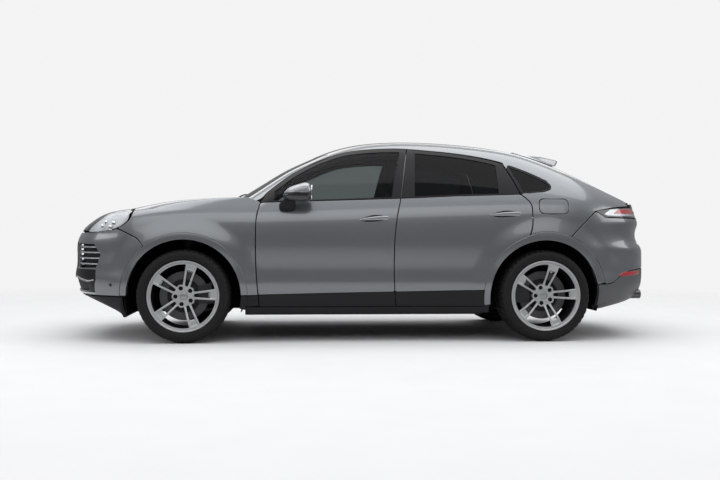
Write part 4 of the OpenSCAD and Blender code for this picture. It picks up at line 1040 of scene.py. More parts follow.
def body_side():
    x_top = np.linspace(1029, -2232, 320)
    crest = np.stack([x_top, np.full(320, RAIL_W)], 1)
    corner = rail_flat([[-2226, 1110]])
    lamp = rail_flat(polyline([[-2226, 1108], [-2130, 1101], [-2021, 1091], [-1890, 1068], [-1836, 1056]],
                              40)[1:])
    cut = rail_flat(polyline([[-1836, 1056], [-1684, 911], [-1622, 850]], 24)[1:])
    arch = rail_flat(band(REAR_X, 100, rear_seam, 113, 76, 40)[:41])
    door_edge = offset_line(REAR_EDGE, GAP + 2)
    door_edge = np.array([p for p in door_edge if p[1] > 862])
    head = HEAD[(HEAD[:, 0] > -1100)][::-1]
    head = rail_flat(offset_line(head, GAP + 2))
    head[:, 1] = np.maximum(head[:, 1], 4)
    base = np.array([[905, 6], [940, 12]])
    loop = np.concatenate([crest, corner, lamp, cut, arch, rail_flat(door_edge), head, base])
    holes = [rail_flat(flap_loop(0)), rail_flat(shrink(QUARTER_GLASS, -12))]
    skin = pair("side_skin", panel(rail, [shrink(fillet(loop, 4), 3.0)] + [shrink(h, -3) for h in holes],
                                   16, 3, 16), PAINT, "body")
    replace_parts(skin[0], "side_frames")
    pair("rear_arch", panel(side, [shrink(band(REAR_X, ARCH, lambda t: rear_seam(t) - 1.5, -9, 168, 120),
                                          3)], 14, 4, 26, lift=1.0), PAINT, "body")
    # painted shade: a near-black sheet behind the arch seam stands in for the shade in the gap
    pair("rear_arch_seam_shade", panel(side_at(14), [band(REAR_X, ARCH + 8, SEAM + 30, 158, 176, 20)], 16, 1,
                                    3), LINER_AND_SHADE_BLACK, "body")
    pair("quarter_trim", panel(side, [shrink(QUARTER_GLASS, -11), shrink(QUARTER_GLASS, 0)], 8, 2, 12,
                               lift=-0.5), SATIN, "body")
    line = offset_line(REAR_EDGE, GAP + 12)
    line = np.array([p for p in line if 1196 < p[1] < 1418])
    pair("quarter_pillar", strip(side, line, 20, 10, 2, 6, 1.5), SATIN, "body")
    glass = pair("quarter_pane", panel(side_at(6), [shrink(QUARTER_GLASS, 0.5)], 16, 0.6, 4), PRIVACY,
                 "body")
    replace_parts(glass[0], "quarter_glass")
    for name, flag in (("charge_flap", False), ("fuel_flap", True)):
        cover = panel(side, [shrink(flap_loop(-4), 2.5)], 12, 2.5, 9)
        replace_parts(make(name + "_cover", cover, PAINT, name, mirrored=flag), name)
    # pocket behind each flap
    pocket = panel(side_at(34), [flap_loop(8)], 20, 2, 2)
    pair("flap_pocket", pocket, BLACK, "body")
    # middle pillar, sill and hinge post
    n = 16
    left = path([[-120, 240], [-135, 700], [-190, 1150], [-262, 1500], [-272, 1572]], n)
    right = path([[-330, 240], [-300, 700], [-315, 1150], [-372, 1500], [-382, 1572]], n)
    outer, back = [], []
    for a, b in zip(left, right):
        p = polyline([a, b], 4)
        t = door_depth(p[:, 1]) + 12
        q = np.stack([p[:, 0], body_y(p[:, 0], p[:, 1]) - t, p[:, 1]], 1)
        outer.append(q)
        back.append(q - np.array([0, 50, 0]))
    rows = [np.concatenate([o, b[::-1]]) for o, b in zip(outer, back)]
    for o in pair("middle_pillar", (*sheet_grid(rows, closed=True)[:2], None), PAINT, "body"):
        sharp(o, 6, 3)
    sill = [[700, 215], [860, 215], [886, 232], [902, 276], [772, 277], [768, 380], [700, 380]]
    rows = [np.array([[x, y, z] for y, z in sill]) for x in np.linspace(-915, 1000, 12)]
    for o in pair("sill", closed_skin(rows), BLACK, "body"):
        sharp(o, 5, 3)
    face = np.concatenate([polyline([[986, 232], [986, 279]], 4),
                           polyline([[986, 279], [-905, 279]], 90)[1:],
                           polyline([[-905, 279], [-960, 300], [-960, 232]], 8)[1:],
                           polyline([[-960, 232], [986, 232]], 90)[1:-1]])
    pair("sill_face", panel(side, [shrink(fillet(face, 8), 3)], 16, 4, 10, lift=0.5), BLACK, "body")
    post = [[930, 700], [1000, 700], [1000, 800], [930, 800]]
    rows = [np.array([[x, y, z] for x, y in post]) for z in (300, 700, 1132)]
    for o in pair("hinge_post", closed_skin(rows), PAINT, "body"):
        sharp(o, 6, 3)
    wall = [[-940, 232], [-940, 340], [-965, 700], [-1180, 900], [-1330, 1000], [-1330, 1210],
            [-1380, 1210], [-1380, 960], [-1000, 720], [-962, 340], [-962, 232]]
    rows = [np.array([[x, y, z] for x, z in wall]) for y in (604, 646)]
    for o in pair("quarter_wall", closed_skin(rows), TRIM, "body"):
        sharp(o, 4, 2)


body_side()


# Bonnet
def bonnet():
    x = np.linspace(2328, 1058, 120)
    edge = np.stack([x, hood_edge(x)], 1)
    a = np.linspace(1, -1, 80)
    tip = nose_point(a * nose_angle(edge[0, 1], 878.0), np.full(80, 878.0))[:, :2]
    y = np.linspace(-edge[-1, 1], edge[-1, 1], 60)
    back = np.stack([1160 - 104 * (y / edge[-1, 1]) ** 2, y], 1)
    loop = np.concatenate([edge[::-1], tip[1:-1], edge * [1, -1], back[1:-1]])
    skin = make("bonnet_skin", panel(hood_top, [shrink(fillet(loop, 8), 3)], 17, 3, 16), PAINT, "hood")
    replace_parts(skin, "hood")
    under = panel(lowered(hood_top, 20.0), [shrink(fillet(loop, 8), 14)], 45, 2, 4, inner=True)
    make("bonnet_lining", under, TRIM, "hood")


bonnet()


# Nose
LAMP_LOW = path([[41, 877], [46, 876], [52, 878], [58, 885], [62, 893], [65, 904], [67, 922], [67.3, 945],
                 [66, 975], [62, 1008], [57, 1038]], 60)
LAMP_INNER = path([[41, 879], [40.5, 920], [40, 960], [39, 985], [36, 1010], [34, 1028], [38, 1041],
                   [47, 1047], [56, 1041]], 60)


def lamp_high():
    t = np.linspace(0, 1, 61)
    x = 2318 + (1884 - 2318) * t ** 0.9
    y = hood_edge(x) + GAP + 1.5 + 30 * t ** 6
    z = hood_z(x, y)
    return np.stack([nose_angle(y, z), z], 1)


LAMP_HIGH = lamp_high()


def nose_loop(points, r=16):
    """Front-view outline laid on the nose."""
    return laid(nose_flat_y, dense(fillet(np.array(points, float), r), 20))


CORNER = [[540, 580], [525, 790], [800, 782], [842, 700], [800, 585]]
MIDDLE_GRILLE = [[-420, 560], [-470, 700], [-440, 805], [440, 805], [470, 700], [420, 560]]
LOWER = [[-720, 398], [-745, 470], [-560, 500], [560, 500], [745, 470], [720, 398]]


def nose_in(depth):
    def surface(uv):
        p = nose(uv)
        return p - depth * np.stack([p[:, 0] * 0 + 0.9, p[:, 1] / 1100, p[:, 0] * 0], 1)
    return surface


def front_nose():
    middle = np.stack([np.linspace(0, nose_flat_a(np.array(31.0), 870.0)[0], 40), np.full(40, 869.5)], 1)
    lamp = LAMP_LOW[LAMP_LOW[:, 1] < 898]
    lamp = nose_flat_a(lamp[:, 0], lamp[:, 1] - 7.0)
    cut = laid(nose_flat_x, polyline([[1994, 896], [1840, 821], [1792, 760]], 24))
    arch = laid(nose_flat_x, ring(FRONT_X, SEAM + 3, 50.5, 0.5, 60))
    foot = nose_flat_x(np.linspace(1980, 2425, 40), np.full(40, 371.0))
    low = np.stack([np.linspace(foot[-1, 0], 0, 30)[1:], np.full(29, 371.0)], 1)
    half = np.concatenate([middle, lamp, cut, arch, foot, low])
    loop = both_halves(half)
    holes = [nose_loop(MIDDLE_GRILLE), nose_loop(CORNER), nose_loop(LOWER),
             nose_loop([[-y, z] for y, z in CORNER][::-1])]
    skin = make("nose_skin", panel(nose, [shrink(fillet(loop, 4), 3)] + holes, 17, 3, 22), PAINT, "body")
    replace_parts(skin, "front_bumper")
    # dark throats behind the openings
    for k, (h, depth) in enumerate(zip(holes, (70, 45, 14, 45))):
        make("throat_%d" % k, panel(nose_in(depth), [shrink(turned(h), -14)], 40, 2, 2), BLACK, "body")
    # satin black round the openings
    pillar = nose_loop([[428, 566], [478, 700], [450, 800], [521, 790], [534, 584]], 6)
    pair("intake_pillar", panel(nose, [pillar], 14, 2, 6, lift=1.2), SATIN, "body")
    surround = nose_loop([[-800, 574], [800, 574], [806, 495], [766, 391], [-766, 391], [-806, 495]][::-1],
                         10)
    make("lower_surround", panel(nose, [surround, shrink(turned(holes[2]), -3)], 18, 2, 6, lift=1.2), SATIN,
         "body")
    # painted highlight: a bright grey strip along the splitter's lip
    ledge = polyline([[-790, 492], [-745, 482], [-560, 511], [560, 511], [745, 482], [790, 492]], 120)
    ledge = strip(nose, laid(nose_flat_y, ledge), 6, 10, 2, 6, 2.6)
    make("splitter_highlight", ledge, LAMP_AND_HIGHLIGHT_GREY, "body")
    bars = []
    for z in (590, 630, 670, 710, 750, 785):
        half_w = 470 if z > 600 else 430
        y = np.linspace(-half_w, half_w, 60)
        bars.append(strip(nose_in(26), nose_flat_y(y, np.full(60, float(z))), 13, 14, 4, 22, 0))
    grille = make("grille_bars", joined(*bars), GLOSS, "body")
    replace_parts(grille, "grille")
    # painted highlight: the slats are drawn bright grey for the light on their edges
    fins = []
    for z, y0, y1 in ((618, 538, 812), (664, 535, 826), (710, 532, 836), (754, 530, 816)):
        y = np.linspace(y0, y1, 24)
        fins.append(strip(nose_in(12), nose_flat_y(y, np.full(24, float(z))), 5, 10, 3, 24, 0))
    pair("corner_fins", joined(*fins), LAMP_AND_HIGHLIGHT_GREY, "body")
    # painted highlight: a bright grey strip along the lower lip
    lip = nose_flat_y(np.linspace(-760, 760, 90), np.full(90, 384.0))
    make("lower_lip_highlight", strip(nose, lip, 8, 10, 2, 6, 2.0), LAMP_AND_HIGHLIGHT_GREY, "body")
    # painted shade: a near-black strip behind the seam stands in for the shade in the gap
    behind = laid(nose_flat_x, polyline([[1998, 904], [1840, 826], [1782, 752]], 30))
    pair("nose_seam_shade", strip(nose_in(16), behind, 40, 14, 1, 3, 0), LINER_AND_SHADE_BLACK, "body")
    t = np.linspace(0, 2 * np.pi, 24, False)
    dot = nose_flat_x(2054.0, 457.0) + 12 * np.stack([np.cos(t), np.sin(t)], 1)
    pair("sensor", panel(nose, [dot], 8, 1.5, 4, lift=0.8), BLACK, "body")


front_nose()


# Headlamps: clear lens over a pale bowl with lamp units
def turned_to(axis, rows):
    """A skin through rows whose normals point along an axis."""
    v, f, normals = sheet_grid(rows)
    if normals[:, axis].mean() < 0:
        return v, [q[::-1] for q in f], -normals
    return v, f, normals


def headlamps():
    rows = []
    for t in np.linspace(0, 1, 17):
        p = LAMP_LOW + (LAMP_INNER - LAMP_LOW) * t
        rows.append(nose_point(p[:, 0], p[:, 1]))
    rows = np.array(rows)
    # black band painted as the shade of the gap, and the wing's bright edge, between the lens and the
    # bonnet
    for name, t0, t1, mat, slot in (("lamp_gap_shade", 0.0, 0.55, GLOSS, "gloss_black"),
                                    ("lamp_edge", 0.55, 1.0, PAINT, "paint")):
        beside = []
        for t in np.linspace(t0, t1, 5):
            p = LAMP_INNER + (LAMP_HIGH - LAMP_INNER) * t
            beside.append(nose_point(p[:, 0], p[:, 1]))
        pair(name, turned_to(2, beside), mat, "body")
    cover = pair("lamp_lens", turned_to(0, rows), LENS, "body")
    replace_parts(cover[0], "headlights")
    # the bowl: the same skin set back and drawn in from its edge
    m, n = rows.shape[:2]
    centre = rows.reshape(-1, 3).mean(0)
    inner = []
    for j in range(m):
        line = []
        for i in range(n):
            e = min(min(j, m - 1 - j) / (m - 1) * 4, min(i, n - 1 - i) / (n - 1) * 6, 1.0)
            p = rows[j, i]
            line.append(p - np.array([20, 4, 13.0]) * math.sin(e * math.pi / 2) + (centre - p) * 0.02)
        inner.append(line)
    pair("lamp_bowl", turned_to(0, inner), LAMP_BOWL, "body")
    # black border inside the lens
    border = []
    for j0, j1, i0, i1 in ((0, 1, 0, n - 1), (m - 2, m - 1, 0, n - 1), (0, m - 1, 0, 1),
                           (0, m - 1, n - 2, n - 1)):
        part = rows[j0:j1 + 1, i0:i1 + 1] - np.array([1.5, 1.0, 1.2])
        border.append(sheet_grid(part))
    pair("lamp_border", joined(*border), GLOSS, "body")
    # lamp units: four rounded blocks in two rows
    units = []
    for u, w in ((0.30, 0.35), (0.30, 0.68), (0.48, 0.38), (0.48, 0.70)):
        p = rows[int(w * (m - 1)), int(u * (n - 1))] - np.array([26, 7, 17.0])
        ca, sa = squarish(24, 0.6)
        out = []
        for d, r in ((0, 24), (20, 24), (22, 22), (22, 17), (14, 15), (10, 1)):
            out.append(np.stack([p[0] + d + ca * 0, p[1] + r * ca + d * 0.3, p[2] + r * 0.9 * sa + d * 0.2],
                                1))
        v, f, _ = sheet_grid(out, closed=True)
        units.append((v, f, None))
    pair("lamp_units", joined(*units), CHROME_AND_HIGHLIGHT, "body")


headlamps()


# Tail
def back_end():
    middle = np.stack([np.linspace(0, tail_flat_y(612.0, 786.0)[0], 40), np.full(40, 786.0)], 1)
    rise = tail_flat_y(np.full(20, 612.0), np.linspace(790, 995, 20))
    lamp = polyline([[45, 1000], [60, 1001], [68.2, 1003], [70.3, 1024], [72.4, 1045]], 24)
    lamp = laid(tail_flat_a, lamp)
    cut = laid(tail_flat_x, polyline([[-1838, 1048], [-1686, 903], [-1626, 842]], 30))
    arch = laid(tail_flat_x, band(REAR_X, 100, lambda t: rear_seam(t) + 2.5, 114, 169, 50)[:51])
    low = path([[-1930, 466], [-2011, 482], [-2078, 530], [-2227, 574], [-2380, 586]], 40)
    low = laid(tail_flat_x, low)
    foot = np.stack([np.linspace(low[-1, 0], 0, 30)[1:], np.full(29, low[-1, 1])], 1)
    half = np.concatenate([middle, rise, lamp, cut, arch, low, foot])
    loop = both_halves(half)
    skin = make("tail_skin", panel(tail, [shrink(fillet(loop, 4), 3)], 17, 3, 22), PAINT, "body")
    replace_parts(skin, "rear_bumper")
    # dark lower part with the reflectors along its upper edge
    arch = laid(tail_flat_x, band(REAR_X, 100, ARCH + 6, 169, 196, 20)[:21])
    arch = arch[arch[:, 1] > 252]
    edge = path([[-1872, 458], [-2011, 474], [-2078, 522], [-2227, 566], [-2380, 578]], 40)
    edge = laid(tail_flat_x, edge)
    top_mid = np.stack([np.linspace(edge[-1, 0], 0, 30)[1:], np.full(29, edge[-1, 1])], 1)
    base = np.stack([np.linspace(0, arch[-1, 0], 60), np.full(60, 250.0)], 1)
    half = np.concatenate([base, arch[::-1], edge, top_mid])
    loop = both_halves(half)
    pipes = []
    for y in (-495, 495):
        p = fillet(np.array([[y - 115, 316], [y + 115, 316], [y + 115, 400], [y - 115, 400]], float), 40,
                   steps=8)
        pipes.append(laid(tail_flat_y, p))
    skin = make("diffuser_skin", panel(tail, [shrink(fillet(loop, 6), 3)] + pipes, 18, 3, 30), GREY, "body")
    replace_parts(skin, "rear_diffuser")
    for k, h in enumerate(pipes):
        make("pipe_throat_%d" % k, panel(tail_in(70.0), [shrink(turned(h), -16)], 40, 2, 2), BLACK, "body")
    line = fillet(np.array([[-2054, 528], [-2159, 526], [-2306, 536], [-2312, 560], [-2130, 556],
                            [-2100, 546]], float), 6)
    pair("reflector", panel(tail, [laid(tail_flat_x, line)], 9, 2.5, 8, lift=2.5), RED, "body")
    # exhaust pipes
    tips = []
    for y in (430, 560):
        t = np.linspace(0, 2 * np.pi, 48, False)
        cy = np.where(np.abs(np.cos(t)) > 1e-9, np.sign(np.cos(t)), 0) * 18
        rows = []
        for x, r in ((-2110, 38), (-2331, 38), (-2343, 39.5), (-2347, 38), (-2345, 35.5), (-2329, 34),
                     (-2130, 33)):
            rows.append(np.stack([np.full(48, float(x)), y + cy + r * np.cos(t), 358 + r * np.sin(t)], 1))
        v, f, _ = sheet_grid(rows, closed=True)
        tips.append((v, f, None))
        plug = rows[-1]
        tips.append((plug, [tuple(range(48))], None))
    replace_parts(pair("exhaust", joined(*tips), DARK_CHROME, "body")[0], "exhaust_tips")


back_end()


def tail_lamps():
    e = 605.0
    low = polyline([[73.2, 1057], [68.4, 1010], [60, 1008], [45, 1007],
                    [float(tail_angle(e, 1006.0)), 1006]], 40)
    high = polyline([[73.2, 1060], [68.4, 1070], [60, 1082], [45, 1093],
                     [float(tail_angle(e, 1092.0)), 1092]], 40)
    flat = laid(tail_flat_a, np.concatenate([low, high[::-1]]))
    case = pair("tail_lamp_case", panel(tail, [shrink(flat, 2)], 10, 2, 20, lift=-1.0), GLOSS, "body")
    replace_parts(case[0], "tail_lights")

    def piece(a, b, t0, t1):
        k0, k1 = int(a * 40), int(b * 40)
        lo = low + (high - low) * t0
        hi = low + (high - low) * t1
        return laid(tail_flat_a, np.concatenate([lo[k0:k1 + 1], hi[k0:k1 + 1][::-1]]))
    pair("tail_lamp_red", panel(tail, [piece(0.62, 0.99, 0.40, 0.82)], 8, 2, 6, lift=3.0), RED, "body")
    pair("tail_lamp_clear", panel(tail, [piece(0.40, 0.99, 0.17, 0.86)], 8, 2, 8, lift=1.0), LAMP_AND_HIGHLIGHT_GREY,
         "body")


tail_lamps()


# Tailgate, spoiler and rear window
GATE_HALF = 598.0
SPOILER_X = [-1670, -1640, -1515, -1435, -1340, -1262]
SPOILER_Z = [1508, 1522, 1548, 1557, 1568, 1580]


def gate_flat(t, z):
    return tail_flat_a(np.sign(t) * np.abs(t) * tail_angle(GATE_HALF, z), z)


def tailgate():
    x = np.linspace(-1258, -2240, 120)
    edge = np.stack([x, look(GATE_EDGE, x)], 1)
    y = np.linspace(edge[-1, 1], -edge[-1, 1], 60)
    tail_end = np.stack([-2366 + 124 * (y / edge[-1, 1]) ** 2, y], 1)
    y2 = np.linspace(-edge[0, 1], edge[0, 1], 40)
    front = np.stack([-1258 - 6 * (1 - (y2 / edge[0, 1]) ** 2), y2], 1)
    loop = np.concatenate([edge, tail_end[1:-1], (edge * [1, -1])[::-1], front[1:-1]])
    y3 = np.linspace(-505, 505, 40)
    y4 = np.linspace(545, -545, 40)
    window = np.concatenate([np.stack([np.full(40, -1490.0), y3], 1),
                             np.stack([-2262 + 60 * (y4 / 545) ** 2, y4], 1)])
    window = fillet(window, 30, steps=8)
    skin = make("gate_skin", panel(top, [shrink(fillet(loop, 5), 3), shrink(window, -3)], 17, 3, 24), PAINT,
                "tailgate")
    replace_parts(skin, "tailgate")
    pane = panel(lowered(glass_top, 3.0), [shrink(window, 1)], 26, 1, 4)
    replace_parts(make("gate_pane", pane, PRIVACY, "tailgate"), "tailgate_glass")
    lining = panel(lowered(top, 40.0), [shrink(fillet(loop, 5), 22), shrink(window, -6)], 40, 3, 14,
                   inner=True)
    make("gate_lining", lining, TRIM, "tailgate")
    # lower panel with a full-width lamp
    z = np.linspace(797, 1126, 40)
    right = gate_flat(np.full(40, 1.0), z)
    t = np.linspace(1, -1, 80)
    loop = np.concatenate([right, gate_flat(t, np.full(80, 1126.0))[1:-1], (right * [-1, 1])[::-1],
                           gate_flat(-t, np.full(80, 797.0))[1:-1]])
    slot_loop = np.concatenate([gate_flat(t * 0.985, np.full(80, 1088.0)),
                                gate_flat(-t * 0.985, np.full(80, 1010.0))])
    make("gate_lower", panel(tail, [shrink(fillet(loop, 8), 3), fillet(slot_loop, 8)], 17, 3, 22), PAINT,
         "tailgate")
    band_loop = np.concatenate([gate_flat(t * 0.98, np.full(80, 1086.0)),
                                gate_flat(-t * 0.98, np.full(80, 1012.0))])
    make("gate_band", panel(tail, [fillet(band_loop, 8)], 16, 2, 8, lift=-2.0), GLOSS, "tailgate")
    red = np.concatenate([gate_flat(t * 0.97, np.full(80, 1066.0)),
                          gate_flat(-t * 0.97, np.full(80, 1050.0))])
    lamp = make("gate_lamp", panel(tail, [red], 14, 3, 6, lift=1.5), RED, "tailgate")
    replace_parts(lamp, "tailgate_light")
    inner = panel(tail_in(60.0), [shrink(fillet(loop, 8), 20)], 50, 3, 30, inner=True)
    make("gate_lower_lining", inner, TRIM, "tailgate")
    # spoiler: closed wing section over the rear window
    ys = np.linspace(-540, 540, 61)
    rows = []
    for yy in ys:
        flank = float(ease(430, 538, abs(yy)))
        end = -1672 + 14 * (yy / 540) ** 2 + 50 * flank
        xs = np.linspace(-1264, end, 30)
        base = top_z(xs, np.full(30, yy))
        up = np.interp(xs, SPOILER_X, SPOILER_Z) - 0.4e-4 * yy * yy
        up = np.maximum(up, base + 3)
        up = up + (base + 4 - up) * 0.9 * flank
        middle = np.maximum(base + 1, up - 30 + 20 * ease(-1560, -1650, xs))
        outer = np.maximum(base - 4, np.interp(xs, [-1672, -1598, -1500], [up[-1] - 8, 1450, 1400]))
        down = middle + (np.minimum(outer, up - 2) - middle) * ease(400, 470, abs(yy))
        tip = np.array([[end - 3, yy, (up[-1] + down[-1]) / 2]])
        across = np.full(30, yy)
        rows.append(np.concatenate([np.stack([xs, across, up], 1), tip,
                                    np.stack([xs, across, down], 1)[::-1]]))
    wing_obj = sharp(make("spoiler", closed_skin(rows), PAINT, "tailgate"), 3, 3, 35)
    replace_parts(wing_obj, "roof_spoiler")


tailgate()


# Roof and windscreen
def roof():
    x = np.linspace(328, -1242, 120)
    edge = np.stack([x, look(RAIL_TOP, x) - GAP], 1)
    y = np.linspace(edge[0, 1], -edge[0, 1], 50)
    head = np.stack([330 + 120 * (1 - (y / edge[0, 1]) ** 2), y], 1)
    y = np.linspace(-edge[-1, 1], edge[-1, 1], 50)
    back = np.stack([-1244 - 6 * (1 - (y / edge[-1, 1]) ** 2), y], 1)
    loop = np.concatenate([edge[::-1], head[1:-1], edge * [1, -1], back[1:-1]])
    skin = make("roof_skin", panel(top, [shrink(fillet(loop, 8), 3)], 22, 3, 14), GLOSS, "body")
    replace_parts(skin, "roof_panel")
    make("roof_lining", panel(lowered(top, 26.0), [shrink(fillet(loop, 8), 6)], 60, 2, 2, inner=True),
         TRIM, "body")
    x = np.linspace(1026, 338, 80)
    edge = np.stack([x, look(RAIL_TOP, x) - GAP], 1)
    y = np.linspace(edge[-1, 1], -edge[-1, 1], 50)
    head = np.stack([336 + 120 * (1 - (y / edge[-1, 1]) ** 2), y], 1)
    y = np.linspace(-edge[0, 1], edge[0, 1], 50)
    base = np.stack([1026 + 100 * (1 - (y / edge[0, 1]) ** 2), y], 1)
    loop = fillet(np.concatenate([edge, head[1:-1], (edge * [1, -1])[::-1], base[1:-1]]), 10)
    pane = make("windscreen", panel(lowered(top, 2.0), [shrink(loop, 2)], 30, 1, 4), GLASS, "body")
    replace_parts(pane, "windshield")
    make("windscreen_border", panel(lowered(top, 7.0), [shrink(loop, 2), shrink(loop, 46)], 20, 1, 2),
         BLACK, "body")


roof()


# Wheels
PAIR_ANGLE = 15.0
PAIR_STEP = 72.0
BOLT_R = 65.0
DISC_R = 195.0
SPOKE_HALF = 9.5
BOSS_R = 28.0


def spoke_offset(u):
    """Distance of a spoke's middle line from the middle of its pair, at the distance u from the hub."""
    return 19 + (u - 60) / 11


def turned_out(a, u, w):
    """Wheel-face points (x, z) at u along the direction a, clockwise from the top, and at w across it."""
    a = math.radians(a)
    u, w = np.broadcast_arrays(np.asarray(u, float), np.asarray(w, float))
    return np.stack([-u * math.sin(a) - w * math.cos(a), u * math.cos(a) - w * math.sin(a)], -1)


def circle(middle, r, n):
    t = np.linspace(0, 2 * np.pi, n, False)
    return np.stack([middle[0] + r * np.cos(t), middle[1] + r * np.sin(t)], 1)


def wheel_windows():
    """For each pair of spokes: the slot within it, the wide window after it and a bolt hole."""
    out = []
    for k in range(5):
        a = PAIR_ANGLE + k * PAIR_STEP
        u = np.array([80.0, 211.0])
        w = spoke_offset(u) - SPOKE_HALF
        out.append(fillet(np.concatenate([turned_out(a, u, -w), turned_out(a, u, w)[::-1]]), 7, steps=6))
        u = np.array([246.0, 85.0])
        one = turned_out(a, u, spoke_offset(u) + SPOKE_HALF)
        two = turned_out(a + PAIR_STEP, u, -spoke_offset(u) - SPOKE_HALF)[::-1]
        mid = a + PAIR_STEP / 2
        t = np.radians(np.linspace(-48, 48, 14))
        inner = turned_out(mid, BOLT_R + BOSS_R * np.cos(t), BOSS_R * np.sin(t))
        b = np.linspace(a + PAIR_STEP - 11, a + 11, 24)
        arc = np.concatenate([turned_out(v, [252.0], 0.0) for v in b])
        out.append(fillet(np.concatenate([one, inner, two, arc]), 5))
        out.append(circle(turned_out(mid, BOLT_R, 0.0), 16.5, 28))
    return out


def wheel_face(centre, h, seat):
    """Dished face of a rim: each spoke has a ridge, and the pad between a pair is sunk."""
    def surface(uv):
        r = np.hypot(uv[:, 0], uv[:, 1])
        y = seat + 16 + (h - seat - 18) * ease(60, 225, r) + 3 * ease(215, 262, r)
        a = np.degrees(np.arctan2(-uv[:, 0], uv[:, 1])) - PAIR_ANGLE
        a = np.radians((a + PAIR_STEP / 2) % PAIR_STEP - PAIR_STEP / 2)
        u, w = r * np.cos(a), np.abs(r * np.sin(a))
        across = np.abs(w - spoke_offset(u))
        ridge = (1 - ease(2, SPOKE_HALF, across)) * ease(85, 120, r) * (1 - ease(244, 258, r))
        pad = ease(6, 9, spoke_offset(u) - w) * ease(211, 217, u) * (1 - ease(240, 252, r))
        y = y + 3.5 * ridge - 5 * pad
        return np.stack([centre[0] + uv[:, 0], centre[1] + y, centre[2] + uv[:, 1]], 1)
    return surface


def tyre(c, h, half_w):
    """Side walls with a rim guard, rounded shoulders, four grooves and tread blocks all round."""
    steps = 300
    wide = half_w / 142.5
    wall = [[264, h - 1], [284, h - 0.6], [286.5, h + 5], [290, half_w - 9.5], [296, half_w - 6],
            [299, half_w - 3.2], [303, half_w - 2.6], [306, half_w - 3.4], [309, half_w - 2],
            [320, half_w - 0.4], [333, half_w - 1.6], [344, half_w - 5.5], [351, half_w - 11]]
    rows = [(r, y, "wall") for r, y in wall]
    grooves = (89, 79, 35, 25)
    for v in (126, 120, 112, 102, 90, 89, 79, 78, 60, 36, 35, 25, 24, 8, 0):
        r = 370 - 0.0005 * v * v - 7.5 * float(ease(106, 130, v))
        kind = "groove" if v in grooves else "shoulder" if v > 89 else "block"
        rows.append((r - 8.0 * (kind == "groove"), v * wide, kind))
    rows = rows + [(r, -y, kind) for r, y, kind in rows[::-1][1:]]
    a = np.arange(steps) * 2 * np.pi / steps
    notch = np.arange(steps) % 6 == 0
    sipe = np.arange(steps) % 6 == 3
    out = []
    for r, y, kind in rows:
        radius = r - 6.0 * notch * (kind == "shoulder") - 4.0 * sipe * (kind == "block")
        edge = np.sign(y) * 2.5 * notch * (kind == "wall" and r > 340)
        out.append(np.stack([c[0] + radius * np.sin(a), c[1] + y - edge, c[2] + radius * np.cos(a)], 1))
    return sheet_grid(out, closed=True)


def wheel(axle, x, y, h, seat, half_w):
    """The two wheels of an axle: y is the middle of the left one, h half the rim's width."""
    c = np.array([x, y, HUB_Z], float)
    loops = [circle((0, 0), 264, 160)] + [shrink(w, -2.5)
                                          for w in wheel_windows()] + [circle((0, 0), 34, 40)]
    face = panel(wheel_face(c, h, seat), loops, 6.5, 2.5, 20)
    lip = lathe([[255, h - 30], [260, h - 14], [264, h - 4], [268, h + 4], [271, h + 7], [275, h + 9],
                 [279, h + 9], [282.5, h + 7.2], [284, h + 4], [283, h]], 180, c)
    barrel = lathe([[283, h], [264, h - 8], [262, h - 20], [262, 10 - h], [264, -h], [281, -h],
                    [282.5, -h - 4], [281, -h - 8], [275, -h - 9.3], [264, -h - 8], [256, 2 - h],
                    [250, 12 - h], [248, 26 - h], [248, h - 90], [249, h - 60], [255, h - 30]], 120, c)
    hub = lathe([[0, seat - 8], [60, seat - 8], [84, seat - 6], [92, seat + 2], [96, seat - 8],
                 [128, seat - 14], [132, seat - 29], [132, seat - 66]], 64, c)
    bolt = [[0, seat + 6], [7, seat + 6], [9.5, seat + 4], [9.5, seat - 7]]
    bolts = []
    for k in range(5):
        p = turned_out(PAIR_ANGLE + (k + 0.5) * PAIR_STEP, BOLT_R, 0.0)
        bolts.append(lathe(bolt, 6, c + np.array([p[0], 0, p[1]])))
    cap = lathe([[0, seat + 20.5], [12, seat + 20.2], [22, seat + 19], [29, seat + 16.5], [31.5, seat + 13],
                 [31.5, seat + 4]], 48, c)
    disc = lathe([[94, seat - 34], [112, seat - 34], [113, seat - 30.6], [DISC_R - 2, seat - 30.6],
                  [DISC_R, seat - 33], [DISC_R, seat - 42], [DISC_R - 6, seat - 43],
                  [DISC_R - 6, seat - 53], [DISC_R, seat - 54], [DISC_R, seat - 64],
                  [DISC_R - 2, seat - 65.5], [94, seat - 65.5]], 120, c)
    bodies = ("wheel_%s_left" % axle, "wheel_%s_right" % axle)
    rims = pair(axle + "_rim_face", face, RIM, bodies)
    pair(axle + "_rim_lip", lip, RIM, bodies, crease=40)
    # painted shade: the barrel, hub and bolts are drawn near black for the shade inside the wheel
    pair(axle + "_rim_barrel", barrel, WHEEL_SHADE_METAL, bodies, crease=40)
    pair(axle + "_hub", hub, WHEEL_SHADE_METAL, bodies, crease=40)
    pair(axle + "_bolts", joined(*bolts), WHEEL_SHADE_METAL, bodies, crease=40)
    pair(axle + "_hub_cap", cap, MIRROR_CAP, bodies, crease=50)
    # painted shade: the disc's steel is darkened for the shade behind the spokes
    pair(axle + "_disc", disc, SHADED_STEEL, bodies, crease=35)
    treads = pair(axle + "_tread", tyre(c, h, half_w), RUBBER, bodies, crease=28)
    for k, s in enumerate(("left", "right")):
        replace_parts(rims[k], "rim_%s_%s" % (axle, s))
        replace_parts(treads[k], "tyre_%s_%s" % (axle, s))


wheel("front", FRONT_X, 840.0, 120.5, 62.0, 142.5)
wheel("rear", REAR_X, 836.5, 139.5, 55.0, 153.5)


# Door mirrors
def closed_curve(points, n):
    return path(points + points[:1], n)[:-1]


